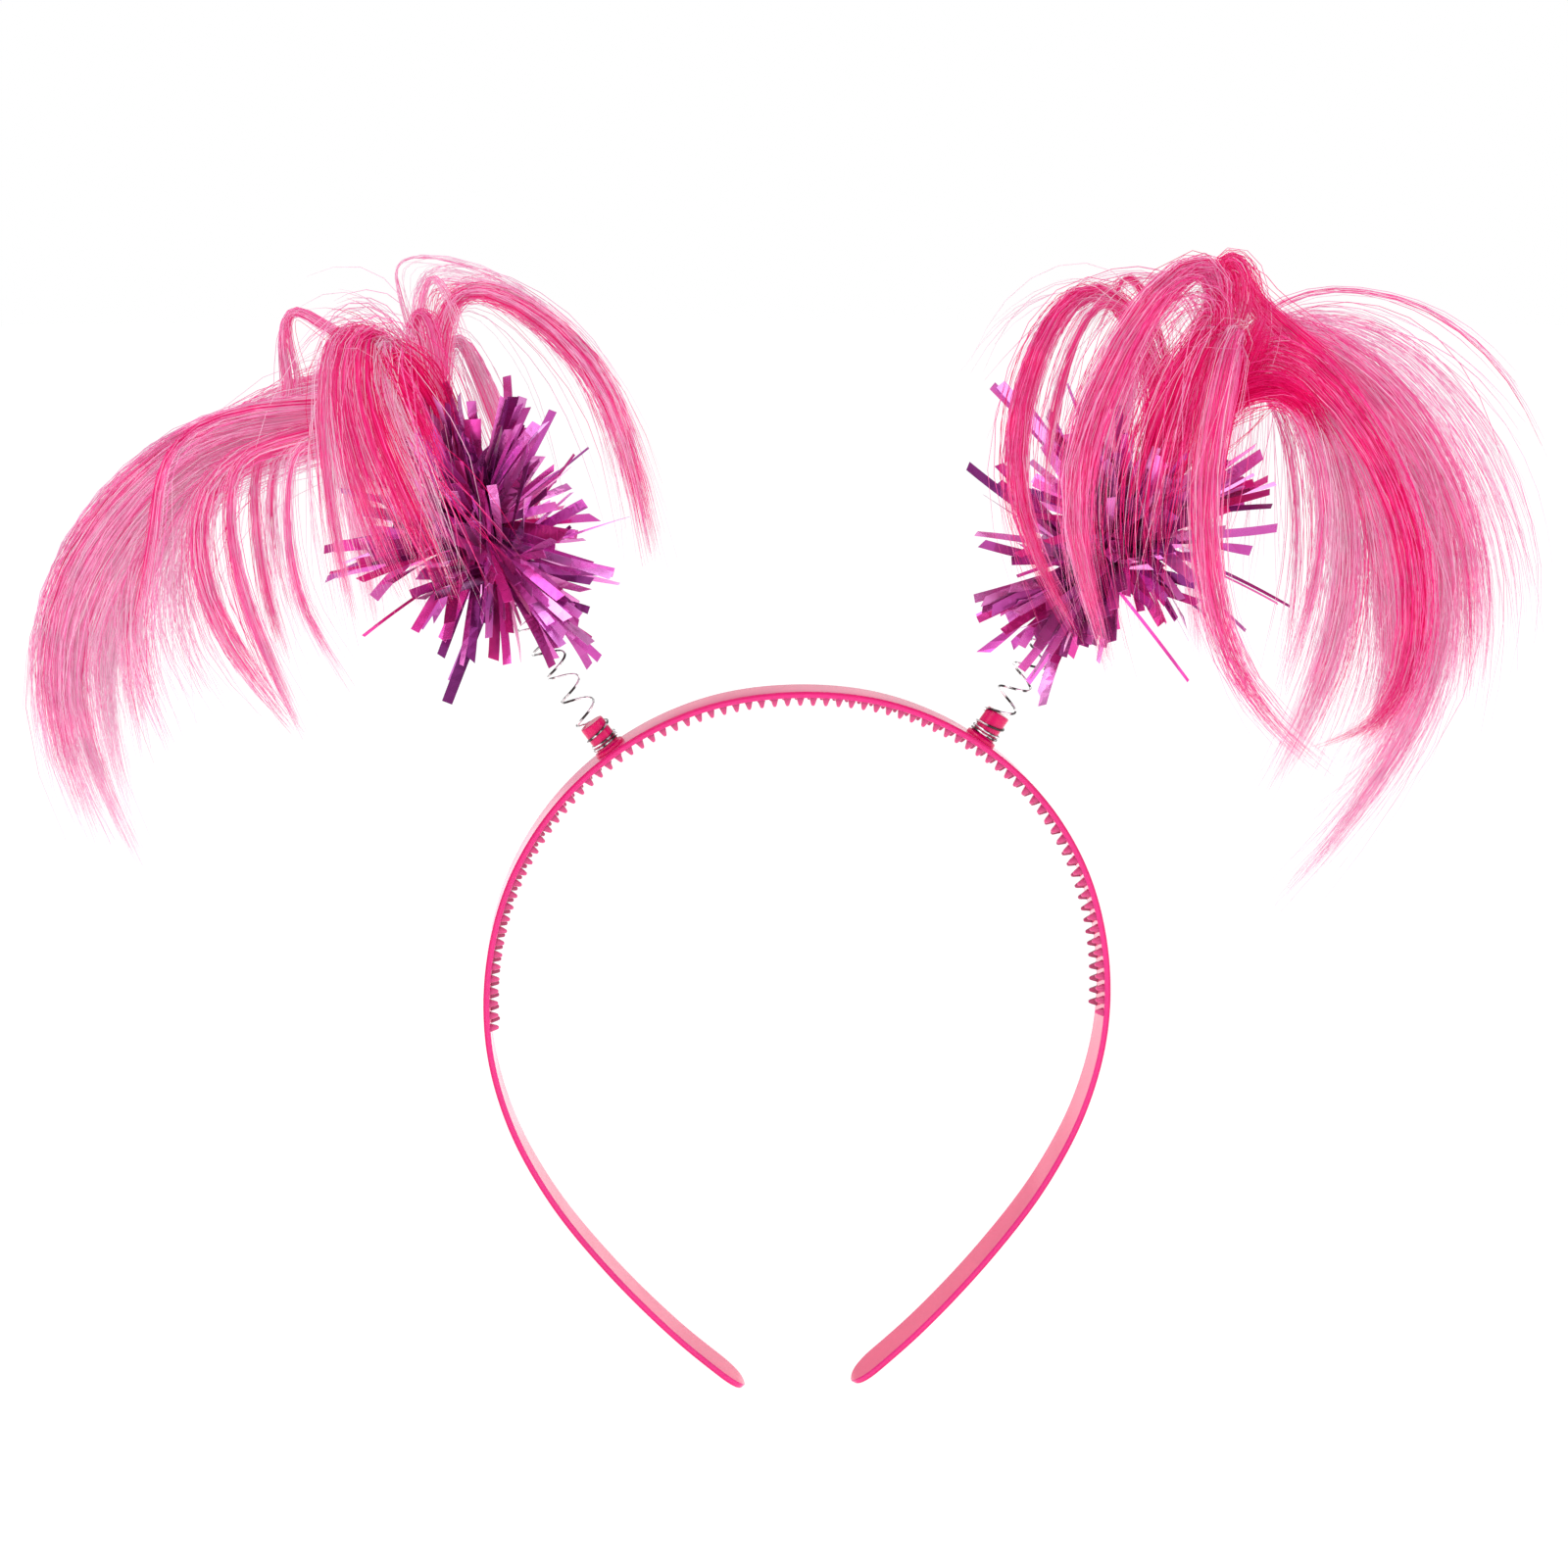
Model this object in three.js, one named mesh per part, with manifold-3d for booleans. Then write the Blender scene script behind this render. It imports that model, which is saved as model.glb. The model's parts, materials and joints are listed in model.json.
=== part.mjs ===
// Head bopper: a toothed plastic headband with two coil springs, and on each
// spring a pompom of foil strips under a tuft of artificial hair.
//
// Units are millimetres. +Z is up, +X is the wearer's left as seen from the
// front, and -Y is the front. The origin is the seat on the crown of the head:
// the middle of the band's inner side, at the tips of its teeth.

import * as THREE from 'three';
import { mergeVertices } from 'three/addons/utils/BufferGeometryUtils.js';
import Module from 'manifold-3d';

const wasm = await Module();
wasm.setup();

// ---------------------------------------------------------------- dimensions

// Band
const BAND_DEPTH = 9.0;          // front to back, Y
const BAND_THICKNESS = 1.3;      // outer face to inner face
const BAND_CHAMFER = 0.25;
const BAND_STATIONS = 58;        // sections between the two ends
const PADDLE_LENGTH = 7.0;       // rounded stretch at each end

// Teeth
const TOOTH_HEIGHT = 1.75;
const TOOTH_PITCH = 2.67;
const TOOTH_ROOT = 1.6;          // along the band
const TOOTH_ROOT_DEPTH = 2.0;    // across the band
const TOOTH_TIP = 0.35;
const TOOTH_SINK = 0.3;          // root buried in the band
const TOOTH_ROW_Y = 3.3;         // the rows lie at -Y and +Y of this
const TOOTH_STAGGER = 0.2;       // the back row's shift along the band
const TOOTH_FROM_DEG = -93;      // seen from the front, left of the crown
const TOOTH_TO_DEG = 95;

// Outline of the band's outer face, about a centre below the crown
const CROWN_Z = TOOTH_HEIGHT + BAND_THICKNESS;
const OUTLINE_CENTRE_Z = CROWN_Z - 65.85;
const OUTLINE = [
  // deg from the crown, radius
  { deg: 0, radius: 65.85 },
  { deg: 16, radius: 66.15 },
  { deg: 32, radius: 66.2 },
  { deg: 48, radius: 66.05 },
  { deg: 64, radius: 65.65 },
  { deg: 80, radius: 65.1 },
  { deg: 96, radius: 65.1 },
  { deg: 112, radius: 65.5 },
  { deg: 128, radius: 66.9 },
  { deg: 144, radius: 70.45 },
  { deg: 160, radius: 78.1 },
  { deg: 172, radius: 87.5 },
];

// Posts that carry the springs
const POST_HEIGHT = 6.6;
const POST_DIAMETER = 4.7;
const POST_FOOT_DIAMETER = 6.6;
const POST_FOOT_HEIGHT = 0.8;
const POST_SIDES = 14;

// Springs
const WIRE_DIAMETER = 0.5;
const COIL_DIAMETER = 5.7;       // middle of the wire
const STEPS_PER_TURN = 11;
const WIRE_SIDES = 5;
const COIL_TABLE = [
  // number of turns, height on the spring's middle line
  { turn: 0, height: 1.2 },
  { turn: 1, height: 1.9 },
  { turn: 2, height: 2.65 },
  { turn: 3, height: 5.4 },
  { turn: 4, height: 10.9 },
  { turn: 5, height: 16.5 },
  { turn: 6, height: 22.1 },
  { turn: 7, height: 27.7 },
  { turn: 8, height: 33.3 },
  { turn: 9, height: 38.0 },
  { turn: 10, height: 38.8 },
  { turn: 10.5, height: 39.2 },
];

// Ties
const TIE_SPIGOT_DIAMETER = 4.6;
const TIE_SPIGOT_LENGTH = 4.0;
const TIE_COLLAR_DIAMETER = 6.8;
const TIE_COLLAR_LENGTH = 4.0;
const TIE_SIDES = 12;

// Pompoms
const POMPOM_RINGS = 13;
const POMPOM_SIDES = 22;
const POMPOM_VALLEY = 0.8;       // radius between the bunches of strips
const POMPOM_BORE = 8.4;         // round the spring's top and the tie
const STEM_CLEARANCE = 0.5;

// Hair
const LOCK_SIDES = 6;
const LOCK_STATIONS = [0, 0.08, 0.16, 0.24, 0.33, 0.45, 0.6, 0.8, 1];
const STEM_STATIONS = [0, 0.2, 0.4, 0.6, 0.8, 1];
const STEM_RADIUS = 4.0;

// The two boppers. The post stands on the band at postDeg from the crown. The
// tie's middle is at tie, and bend is the way that the spring leans there.
const BOPPERS = [
  { side: 'left', postDeg: -35.3, tie: [-60.0, 29.2], bendDeg: -28, phaseDeg: 40 },
  { side: 'right', postDeg: 34.3, tie: [61.6, 28.8], bendDeg: 37, phaseDeg: 150 },
];

// Reach of each pompom from the tie, by direction: deg turns from +X to +Z as
// seen from the front, reach is the radius in the XZ plane, and the Y reach
// is POMPOM_REACH_Y.
const POMPOM_REACH_Y = 21;
const POMPOM_REACH = {
  left: [
    { deg: 0, reach: 26 },
    { deg: 45, reach: 25 },
    { deg: 90, reach: 28 },
    { deg: 135, reach: 27 },
    { deg: 180, reach: 27 },
    { deg: 225, reach: 26 },
    { deg: 270, reach: 24 },
    { deg: 315, reach: 24 },
  ],
  right: [
    { deg: 0, reach: 30 },
    { deg: 45, reach: 27 },
    { deg: 90, reach: 26 },
    { deg: 135, reach: 27 },
    { deg: 180, reach: 26 },
    { deg: 225, reach: 27 },
    { deg: 270, reach: 25 },
    { deg: 315, reach: 26 },
  ],
};

// Each tuft's stem, from the tie to the root of its locks.
const STEMS = {
  left: [
    { x: -62.2, y: 0, z: 34.6 },
    { x: -65.6, y: 0, z: 42.0 },
    { x: -70.6, y: 0, z: 52.5 },
    { x: -75.5, y: 1, z: 62.0 },
  ],
  right: [
    { x: 65.0, y: 0, z: 34.2 },
    { x: 69.2, y: 0, z: 42.0 },
    { x: 76.5, y: 0, z: 53.5 },
    { x: 81.5, y: 0, z: 63.0 },
  ],
};

// Locks of hair. rise, crest, shoulder, belly and tip are points on the
// lock's middle line, wide is half its width seen from the front, and deep is
// half its depth.
const LOCKS = {
  left: [
    { lock: 'arch_inner', rise: [-70.1, 2, 73.3], crest: [-63.2, 2, 82.2], shoulder: [-47.1, 0, 74.6], belly: [-36.4, -3, 56.9], tip: [-30.4, -6, 33.0], wide: 3.4, deep: 3.2 },
    { lock: 'back_inner', rise: [-69.9, 8, 69.2], crest: [-66.0, 16, 73.0], shoulder: [-60.0, 24, 58.0], belly: [-54.5, 28, 44.0], tip: [-50.5, 28, 29.0], wide: 2.8, deep: 2.6 },
    { lock: 'front_outer', rise: [-82.0, -4, 68.0], crest: [-88.2, -12, 73.6], shoulder: [-90.1, -24, 57.5], belly: [-87.5, -28, 39.7], tip: [-85.4, -27, 20.7], wide: 3.6, deep: 3.0 },
    { lock: 'front_middle', rise: [-79.1, -4, 69.8], crest: [-83.9, -12, 74.4], shoulder: [-82.2, -26, 57.6], belly: [-77.6, -31, 41.8], tip: [-73.0, -31, 24.9], wide: 4.2, deep: 3.0 },
    { lock: 'front_inner', rise: [-75.5, -2, 68.8], crest: [-77.0, -10, 73.4], shoulder: [-74.5, -24, 59.2], belly: [-70.6, -30, 43.4], tip: [-67.8, -30, 27.5], wide: 3.6, deep: 2.8 },
    { lock: 'sweep_outer', rise: [-83.4, 0, 61.2], crest: [-101.6, -4, 58.4], shoulder: [-127.6, -8, 46.2], belly: [-143.6, -8, 17.0], tip: [-137.1, -5, -13.6], wide: 5.6, deep: 4.6 },
    { lock: 'sweep_middle', rise: [-82.9, 4, 58.0], crest: [-100.7, 4, 54.5], shoulder: [-123.4, 2, 38.4], belly: [-133.4, 0, 15.5], tip: [-124.0, 2, -5.1], wide: 4.4, deep: 4.2 },
    { lock: 'sweep_front', rise: [-84.0, -4, 62.4], crest: [-97.6, -10, 58.2], shoulder: [-115.5, -14, 43.5], belly: [-112.0, -16, 19.0], tip: [-100.6, -15, 1.2], wide: 3.2, deep: 3.0 },
    { lock: 'sweep_short', rise: [-83.7, 2, 59.1], crest: [-95.5, -4, 55.9], shoulder: [-106.5, -8, 46.0], belly: [-106.8, -9, 29.5], tip: [-101.6, -8, 14.6], wide: 2.6, deep: 2.6 },
    { lock: 'sweep_near', rise: [-82.4, -2, 58.5], crest: [-91.2, -10, 56.3], shoulder: [-99.2, -14, 45.6], belly: [-97.6, -17, 28.2], tip: [-88.9, -17, 9.6], wide: 2.6, deep: 2.6 },
    { lock: 'loop_small', rise: [-87.0, 4, 70.0], crest: [-96.2, 8, 76.6], shoulder: [-101.2, 10, 70.6], belly: [-101.6, 7, 61.0], tip: [-107.6, 2, 52.5], wide: 2.2, deep: 2.4 },
    { lock: 'back_middle', rise: [-80.0, 8, 68.3], crest: [-83.3, 16, 71.3], shoulder: [-82.3, 29, 55.1], belly: [-79.2, 35, 36.1], tip: [-77.3, 35, 17.3], wide: 4.4, deep: 3.2 },
    { lock: 'back_outer', rise: [-82.9, 8, 65.4], crest: [-91.2, 16, 67.5], shoulder: [-103.4, 28, 53.4], belly: [-111.0, 33, 32.5], tip: [-110.3, 32, 14.2], wide: 4.4, deep: 3.2 },
    { lock: 'wisp_loop', rise: [-75.4, 6, 74.0], crest: [-77.2, 7, 85.0], shoulder: [-63.6, 6, 86.2], belly: [-50.4, 3, 79.6], tip: [-38.0, 0, 62.0], wide: 1.8, deep: 2.0 },
  ],
  right: [
    { lock: 'arch_inner', rise: [70.2, 4, 73.6], crest: [58.6, 2, 81.6], shoulder: [45.6, -6, 69.4], belly: [41.2, -15, 48.2], tip: [47.6, -25, 25.5], wide: 3.6, deep: 3.4 },
    { lock: 'arch_front', rise: [80.3, -4, 79.0], crest: [71.6, -10, 84.6], shoulder: [57.2, -21, 73.2], belly: [49.6, -28, 51.3], tip: [51.8, -30, 24.6], wide: 4.4, deep: 3.2 },
    { lock: 'veil_front', rise: [78.6, -6, 75.9], crest: [72.1, -14, 79.6], shoulder: [63.0, -25, 66.6], belly: [58.6, -31, 47.8], tip: [60.6, -31, 28.6], wide: 3.4, deep: 2.6 },
    { lock: 'crest_knot', rise: [79.6, 4, 76.0], crest: [82.0, 4, 86.6], shoulder: [89.2, 1, 82.6], belly: [94.4, -3, 72.0], tip: [100.8, -9, 59.5], wide: 3.6, deep: 4.0 },
    { lock: 'sweep_outer', rise: [84.3, 0, 68.9], crest: [94.5, -2, 73.2], shoulder: [117.6, -8, 56.7], belly: [131.2, -12, 27.7], tip: [122.4, -14, -5.2], wide: 5.4, deep: 4.4 },
    { lock: 'sweep_middle', rise: [83.4, -4, 67.2], crest: [91.0, -8, 71.2], shoulder: [110.6, -16, 50.1], belly: [118.9, -20, 21.6], tip: [110.4, -20, -4.5], wide: 4.6, deep: 4.0 },
    { lock: 'sweep_inner', rise: [85.5, 0, 65.0], crest: [91.8, -2, 67.6], shoulder: [104.0, -5, 47.2], belly: [111.2, -7, 23.3], tip: [100.6, -8, -8.6], wide: 3.6, deep: 3.6 },
    { lock: 'sweep_tail', rise: [85.3, 4, 69.7], crest: [97.8, 6, 73.0], shoulder: [126.2, 4, 53.7], belly: [138.6, 0, 15.9], tip: [109.4, -4, -30.0], wide: 3.8, deep: 3.8 },
    { lock: 'fall_front', rise: [81.7, -6, 72.1], crest: [80.6, -14, 75.6], shoulder: [73.8, -28, 54.9], belly: [76.2, -33, 27.4], tip: [86.2, -31, 0.4], wide: 3.2, deep: 2.8 },
    { lock: 'fall_inner', rise: [85.4, -4, 66.2], crest: [91.0, -8, 68.3], shoulder: [97.2, -13, 50.2], belly: [99.6, -15, 28.4], tip: [94.9, -15, 1.4], wide: 2.6, deep: 2.6 },
    { lock: 'arch_thin', rise: [90.6, 6, 74.4], crest: [115.7, 10, 81.6], shoulder: [136.0, 9, 73.2], belly: [147.4, 7, 59.3], tip: [152.4, 5, 48.6], wide: 1.8, deep: 2.2 },
    { lock: 'wisp_outer', rise: [90.3, 8, 72.4], crest: [108.5, 12, 75.9], shoulder: [134.0, 14, 61.0], belly: [153.2, 14, 32.3], tip: [157.4, 12, 4.4], wide: 2.2, deep: 2.4 },
    { lock: 'back_inner', rise: [79.2, 8, 72.4], crest: [77.9, 16, 76.0], shoulder: [75.5, 29, 58.2], belly: [74.3, 35, 37.9], tip: [75.3, 35, 17.6], wide: 4.4, deep: 3.2 },
    { lock: 'back_outer', rise: [87.3, 8, 71.4], crest: [96.4, 16, 74.0], shoulder: [113.8, 29, 55.9], belly: [123.9, 35, 29.9], tip: [122.4, 33, 4.2], wide: 4.6, deep: 3.2 },
  ],
};

// How a lock's half width runs from its root to its tip.
const LOCK_TAPER = [
  { at: 0.0, share: 0.8 },
  { at: 0.2, share: 0.85 },
  { at: 0.5, share: 1.0 },
  { at: 0.8, share: 0.9 },
  { at: 1.0, share: 0.3 },
];

// ------------------------------------------------------------------- helpers

const rad = THREE.MathUtils.degToRad;

// Straight-line reading of a table whose rows rise in one column.
function read(table, key, value, at) {
  const last = table[table.length - 1];
  if (at <= table[0][key]) return table[0][value];
  if (at >= last[key]) return last[value];
  const i = table.findIndex((row) => row[key] >= at);
  const a = table[i - 1];
  const b = table[i];
  const t = (at - a[key]) / (b[key] - a[key]);
  return a[value] + (b[value] - a[value]) * t;
}

// Closed solid through rings of equal count; the rings' order is such that
// the faces point out when each ring turns anticlockwise seen from the last.
function loft(rings) {
  const count = rings[0].length;
  const positions = [];
  for (const ring of rings) for (const p of ring) positions.push(p.x, p.y, p.z);
  const index = [];
  for (let i = 0; i + 1 < rings.length; i += 1) {
    for (let j = 0; j < count; j += 1) {
      const k = (j + 1) % count;
      const a = i * count + j;
      const b = i * count + k;
      const c = a + count;
      const d = b + count;
      index.push(a, b, d, a, d, c);
    }
  }
  const endAt = (rings.length - 1) * count;
  for (let j = 1; j + 1 < count; j += 1) {
    index.push(0, j + 1, j);
    index.push(endAt, endAt + j, endAt + j + 1);
  }
  const geometry = new THREE.BufferGeometry();
  geometry.setAttribute('position', new THREE.Float32BufferAttribute(positions, 3));
  geometry.setIndex(index);
  return geometry;
}

function solid(geometry) {
  let g = geometry.clone();
  g.deleteAttribute('normal');
  g.deleteAttribute('uv');
  g = mergeVertices(g, 1e-5);
  const vertProperties = new Float32Array(g.attributes.position.array);
  const triVerts = new Uint32Array(g.index.array);
  let made = new wasm.Manifold(new wasm.Mesh({ numProp: 3, vertProperties, triVerts }));
  if (made.volume() < 0) {
    for (let i = 0; i < triVerts.length; i += 3) {
      const swap = triVerts[i];
      triVerts[i] = triVerts[i + 1];
      triVerts[i + 1] = swap;
    }
    made = new wasm.Manifold(new wasm.Mesh({ numProp: 3, vertProperties, triVerts }));
  }
  return made;
}

function surface(body) {
  const mesh = body.getMesh();
  const geometry = new THREE.BufferGeometry();
  const positions = new Float32Array(mesh.numVert * 3);
  for (let i = 0; i < mesh.numVert; i += 1) {
    for (let k = 0; k < 3; k += 1) {
      positions[i * 3 + k] = mesh.vertProperties[i * mesh.numProp + k];
    }
  }
  geometry.setAttribute('position', new THREE.BufferAttribute(positions, 3));
  geometry.setIndex(new THREE.BufferAttribute(new Uint32Array(mesh.triVerts), 1));
  geometry.computeVertexNormals();
  return geometry;
}

function joined(bodies) {
  let whole = bodies[0];
  for (const body of bodies.slice(1)) whole = whole.add(body);
  return whole;
}

// The largest closed skin of a body: small pockets between joined pieces are
// filled, and loose crumbs of a cut are dropped.
function mainSkin(body) {
  return body.decompose().reduce((a, b) => (b.volume() > a.volume() ? b : a));
}

// ------------------------------------------------------------------ headband

// Outer face of the band as a smooth curve from the left end to the right.
const outlineRows = [
  ...OUTLINE.slice(1).reverse().map((row) => ({ deg: -row.deg, radius: row.radius })),
  ...OUTLINE,
];
const outlineCurve = new THREE.CatmullRomCurve3(
  outlineRows.map((row) => new THREE.Vector3(
    row.radius * Math.sin(rad(row.deg)),
    0,
    OUTLINE_CENTRE_Z + row.radius * Math.cos(rad(row.deg)),
  )),
  false,
  'centripetal',
);
outlineCurve.arcLengthDivisions = 2000;
const BAND_LENGTH = outlineCurve.getLength();

// A point of the outer face at a length from the left end, with the way
// along the band and the way out of it.
function bandFrame(length) {
  const u = THREE.MathUtils.clamp(length / BAND_LENGTH, 0, 1);
  const at = outlineCurve.getPointAt(u);
  const along = outlineCurve.getTangentAt(u);
  const out = new THREE.Vector3(-along.z, 0, along.x);
  return { at, along, out };
}

// The length from the left end at which the outline stands at an angle.
function lengthAtDeg(deg) {
  let low = 0;
  let high = BAND_LENGTH;
  for (let i = 0; i < 40; i += 1) {
    const middle = (low + high) / 2;
    const p = bandFrame(middle).at;
    const here = Math.atan2(p.x, p.z - OUTLINE_CENTRE_Z);
    if (here < rad(deg)) low = middle;
    else high = middle;
  }
  return (low + high) / 2;
}

function bandRing(length, share) {
  const { at, out } = bandFrame(length);
  const half = (BAND_DEPTH / 2) * share;
  const slim = share < 0.5 ? 0.35 : 0;
  const c = Math.min(BAND_CHAMFER, half * 0.5);
  const top = -slim;
  const bottom = -BAND_THICKNESS + slim;
  const corners = [
    [-half, top - c], [-half + c, top], [half - c, top], [half, top - c],
    [half, bottom + c], [half - c, bottom], [-half + c, bottom], [-half, bottom + c],
  ];
  return corners.map(([y, n]) => new THREE.Vector3(at.x + out.x * n, y, at.z + out.z * n));
}

const PADDLE = [
  { from: 0.0, share: 0.16 },
  { from: 0.05, share: 0.34 },
  { from: 0.16, share: 0.56 },
  { from: 0.34, share: 0.77 },
  { from: 0.62, share: 0.94 },
  { from: 1.0, share: 1.0 },
];
const bandStations = [];
for (const row of PADDLE) {
  bandStations.push({ length: row.from * PADDLE_LENGTH, share: row.share });
}
for (let i = 1; i < BAND_STATIONS; i += 1) {
  const t = i / BAND_STATIONS;
  bandStations.push({
    length: PADDLE_LENGTH + (BAND_LENGTH - 2 * PADDLE_LENGTH) * t,
    share: 1,
  });
}
for (const row of [...PADDLE].reverse()) {
  bandStations.push({ length: BAND_LENGTH - row.from * PADDLE_LENGTH, share: row.share });
}
const bandBody = solid(loft(bandStations.map((s) => bandRing(s.length, s.share))));

// One tooth: a four-sided point that stands on the band's inner face.
function tooth(length, y) {
  const { at, along, out } = bandFrame(length);
  const level = (n, halfAlong, halfY) => [[-1, -1], [1, -1], [1, 1], [-1, 1]].map(([a, b]) => (
    new THREE.Vector3(
      at.x + out.x * n + along.x * halfAlong * a,
      y + halfY * b,
      at.z + out.z * n + along.z * halfAlong * a,
    )
  ));
  const root = -BAND_THICKNESS;
  return solid(loft([
    level(root + TOOTH_SINK, TOOTH_ROOT / 2, TOOTH_ROOT_DEPTH / 2),
    level(root - TOOTH_HEIGHT, TOOTH_TIP / 2, TOOTH_TIP),
  ]));
}

const teeth = [];
const toothFrom = lengthAtDeg(TOOTH_FROM_DEG);
const toothTo = lengthAtDeg(TOOTH_TO_DEG);
const toothCount = Math.floor((toothTo - toothFrom) / TOOTH_PITCH);
for (let i = 0; i <= toothCount; i += 1) {
  const length = toothFrom + i * TOOTH_PITCH;
  teeth.push(tooth(length, -TOOTH_ROW_Y));
  teeth.push(tooth(length - TOOTH_STAGGER, TOOTH_ROW_Y));
}

// One post: a round stub on a wider foot, turned about the band's normal.
function postBody(deg) {
  const profile = [
    [0, -0.6], [POST_FOOT_DIAMETER / 2, -0.6], [POST_FOOT_DIAMETER / 2 - 0.2, POST_FOOT_HEIGHT * 0.6],
    [POST_DIAMETER / 2, POST_FOOT_HEIGHT], [POST_DIAMETER / 2, POST_HEIGHT - 0.4],
    [POST_DIAMETER / 2 - 0.4, POST_HEIGHT], [0, POST_HEIGHT],
  ].map(([r, h]) => new THREE.Vector2(r, h));
  const geometry = new THREE.LatheGeometry(profile, POST_SIDES);
  const { at, out } = bandFrame(lengthAtDeg(deg));
  const turn = new THREE.Quaternion().setFromUnitVectors(new THREE.Vector3(0, 1, 0), out);
  geometry.applyQuaternion(turn);
  geometry.translate(at.x, at.y, at.z);
  return solid(geometry);
}

const headbandBody = joined([
  bandBody,
  joined(teeth),
  ...BOPPERS.map((row) => postBody(row.postDeg)),
]);

// ------------------------------------------------------------------- springs

// Middle line of a spring: it leaves the band along the post and bends over
// to the tie.
function springLine(row) {
  const { at, out } = bandFrame(lengthAtDeg(row.postDeg));
  const tie = new THREE.Vector3(row.tie[0], 0, row.tie[1]);
  const lean = new THREE.Vector3(Math.sin(rad(row.bendDeg)), 0, Math.cos(rad(row.bendDeg)));
  const reach = at.distanceTo(tie) / 3;
  return new THREE.CubicBezierCurve3(
    at.clone(),
    at.clone().addScaledVector(out, reach),
    tie.clone().addScaledVector(lean, -reach),
    tie.clone(),
  );
}

class CoilCurve extends THREE.Curve {
  constructor(line, phase) {
    super();
    this.line = line;
    this.lineLength = line.getLength();
    this.phase = phase;
    this.turns = COIL_TABLE[COIL_TABLE.length - 1].turn;
  }

  getPoint(t, target = new THREE.Vector3()) {
    const turn = t * this.turns;
    const height = read(COIL_TABLE, 'turn', 'height', turn);
    const u = THREE.MathUtils.clamp(height / this.lineLength, 0, 1);
    const at = this.line.getPointAt(u);
    const along = this.line.getTangentAt(u);
    const across = new THREE.Vector3(along.z, 0, -along.x);
    const back = new THREE.Vector3(0, 1, 0);
    const angle = this.phase + turn * Math.PI * 2;
    return target.copy(at)
      .addScaledVector(across, (COIL_DIAMETER / 2) * Math.cos(angle))
      .addScaledVector(back, (COIL_DIAMETER / 2) * Math.sin(angle));
  }
}

function springBody(row) {
  const curve = new CoilCurve(springLine(row), rad(row.phaseDeg));
  curve.arcLengthDivisions = 1200;
  const section = new THREE.Shape();
  for (let i = 0; i < WIRE_SIDES; i += 1) {
    const a = (i / WIRE_SIDES) * Math.PI * 2;
    const x = (WIRE_DIAMETER / 2) * Math.cos(a);
    const y = (WIRE_DIAMETER / 2) * Math.sin(a);
    if (i === 0) section.moveTo(x, y);
    else section.lineTo(x, y);
  }
  section.closePath();
  const geometry = new THREE.ExtrudeGeometry(section, {
    steps: Math.round(curve.turns * STEPS_PER_TURN),
    bevelEnabled: false,
    extrudePath: curve,
  });
  return solid(geometry);
}

// ---------------------------------------------------------------------- ties

function tieFrame(row) {
  const lean = new THREE.Vector3(Math.sin(rad(row.bendDeg)), 0, Math.cos(rad(row.bendDeg)));
  const at = new THREE.Vector3(row.tie[0], 0, row.tie[1]);
  return { at, lean };
}

// A plug whose spigot goes into the spring and whose collar sits on it.
function tieBody(row) {
  const spigot = TIE_SPIGOT_DIAMETER / 2;
  const collar = TIE_COLLAR_DIAMETER / 2;
  const profile = [
    [0, -TIE_SPIGOT_LENGTH - 2.8], [spigot - 0.3, -TIE_SPIGOT_LENGTH - 2.8],
    [spigot, -TIE_SPIGOT_LENGTH - 2.5], [spigot, -2.6],
    [collar, -2.4], [collar, TIE_COLLAR_LENGTH - 3.0],
    [collar - 1.2, TIE_COLLAR_LENGTH - 2.0], [0, TIE_COLLAR_LENGTH - 2.0],
  ].map(([r, h]) => new THREE.Vector2(r, h));
  const geometry = new THREE.LatheGeometry(profile, TIE_SIDES);
  const { at, lean } = tieFrame(row);
  geometry.applyQuaternion(new THREE.Quaternion().setFromUnitVectors(new THREE.Vector3(0, 1, 0), lean));
  geometry.translate(at.x, at.y, at.z);
  return solid(geometry);
}

// ---------------------------------------------------------------------- hair

// Tapered tube of oval section along a smooth line.
function lockGeometry(points, wide, deep, taper, stations, sides) {
  const curve = new THREE.CatmullRomCurve3(points, false, 'centripetal');
  const rings = [];
  for (const u of stations) {
    const at = curve.getPointAt(u);
    const along = curve.getTangentAt(u);
    const back = new THREE.Vector3(0, 1, 0).addScaledVector(along, -along.y).normalize();
    const across = new THREE.Vector3().crossVectors(back, along);
    const share = read(taper, 'at', 'share', u);
    const ring = [];
    for (let j = 0; j < sides; j += 1) {
      const a = (j / sides) * Math.PI * 2;
      ring.push(at.clone()
        .addScaledVector(across, wide * share * Math.cos(a))
        .addScaledVector(back, deep * share * Math.sin(a)));
    }
    rings.push(ring);
  }
  return loft(rings);
}

const point = (p) => new THREE.Vector3(p[0], p[1], p[2]);
const STEM_TAPER = [
  { at: 0, share: 0.55 },
  { at: 0.3, share: 0.85 },
  { at: 1, share: 1.3 },
];

function stemGeometry(side, extra) {
  const points = STEMS[side].map((row) => new THREE.Vector3(row.x, row.y, row.z));
  return lockGeometry(points, STEM_RADIUS + extra, STEM_RADIUS + extra, STEM_TAPER, STEM_STATIONS, 8);
}

function hairBody(side) {
  const stem = STEMS[side];
  const top = stem[stem.length - 1];
  const start = new THREE.Vector3(top.x, top.y, top.z);
  const locks = LOCKS[side].map((row) => solid(lockGeometry(
    [start, point(row.rise), point(row.crest), point(row.shoulder), point(row.belly), point(row.tip)],
    row.wide,
    row.deep,
    LOCK_TAPER,
    LOCK_STATIONS,
    LOCK_SIDES,
  )));
  return mainSkin(joined([solid(stemGeometry(side, 0)), ...locks]));
}

// ------------------------------------------------------------------- pompoms

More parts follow.
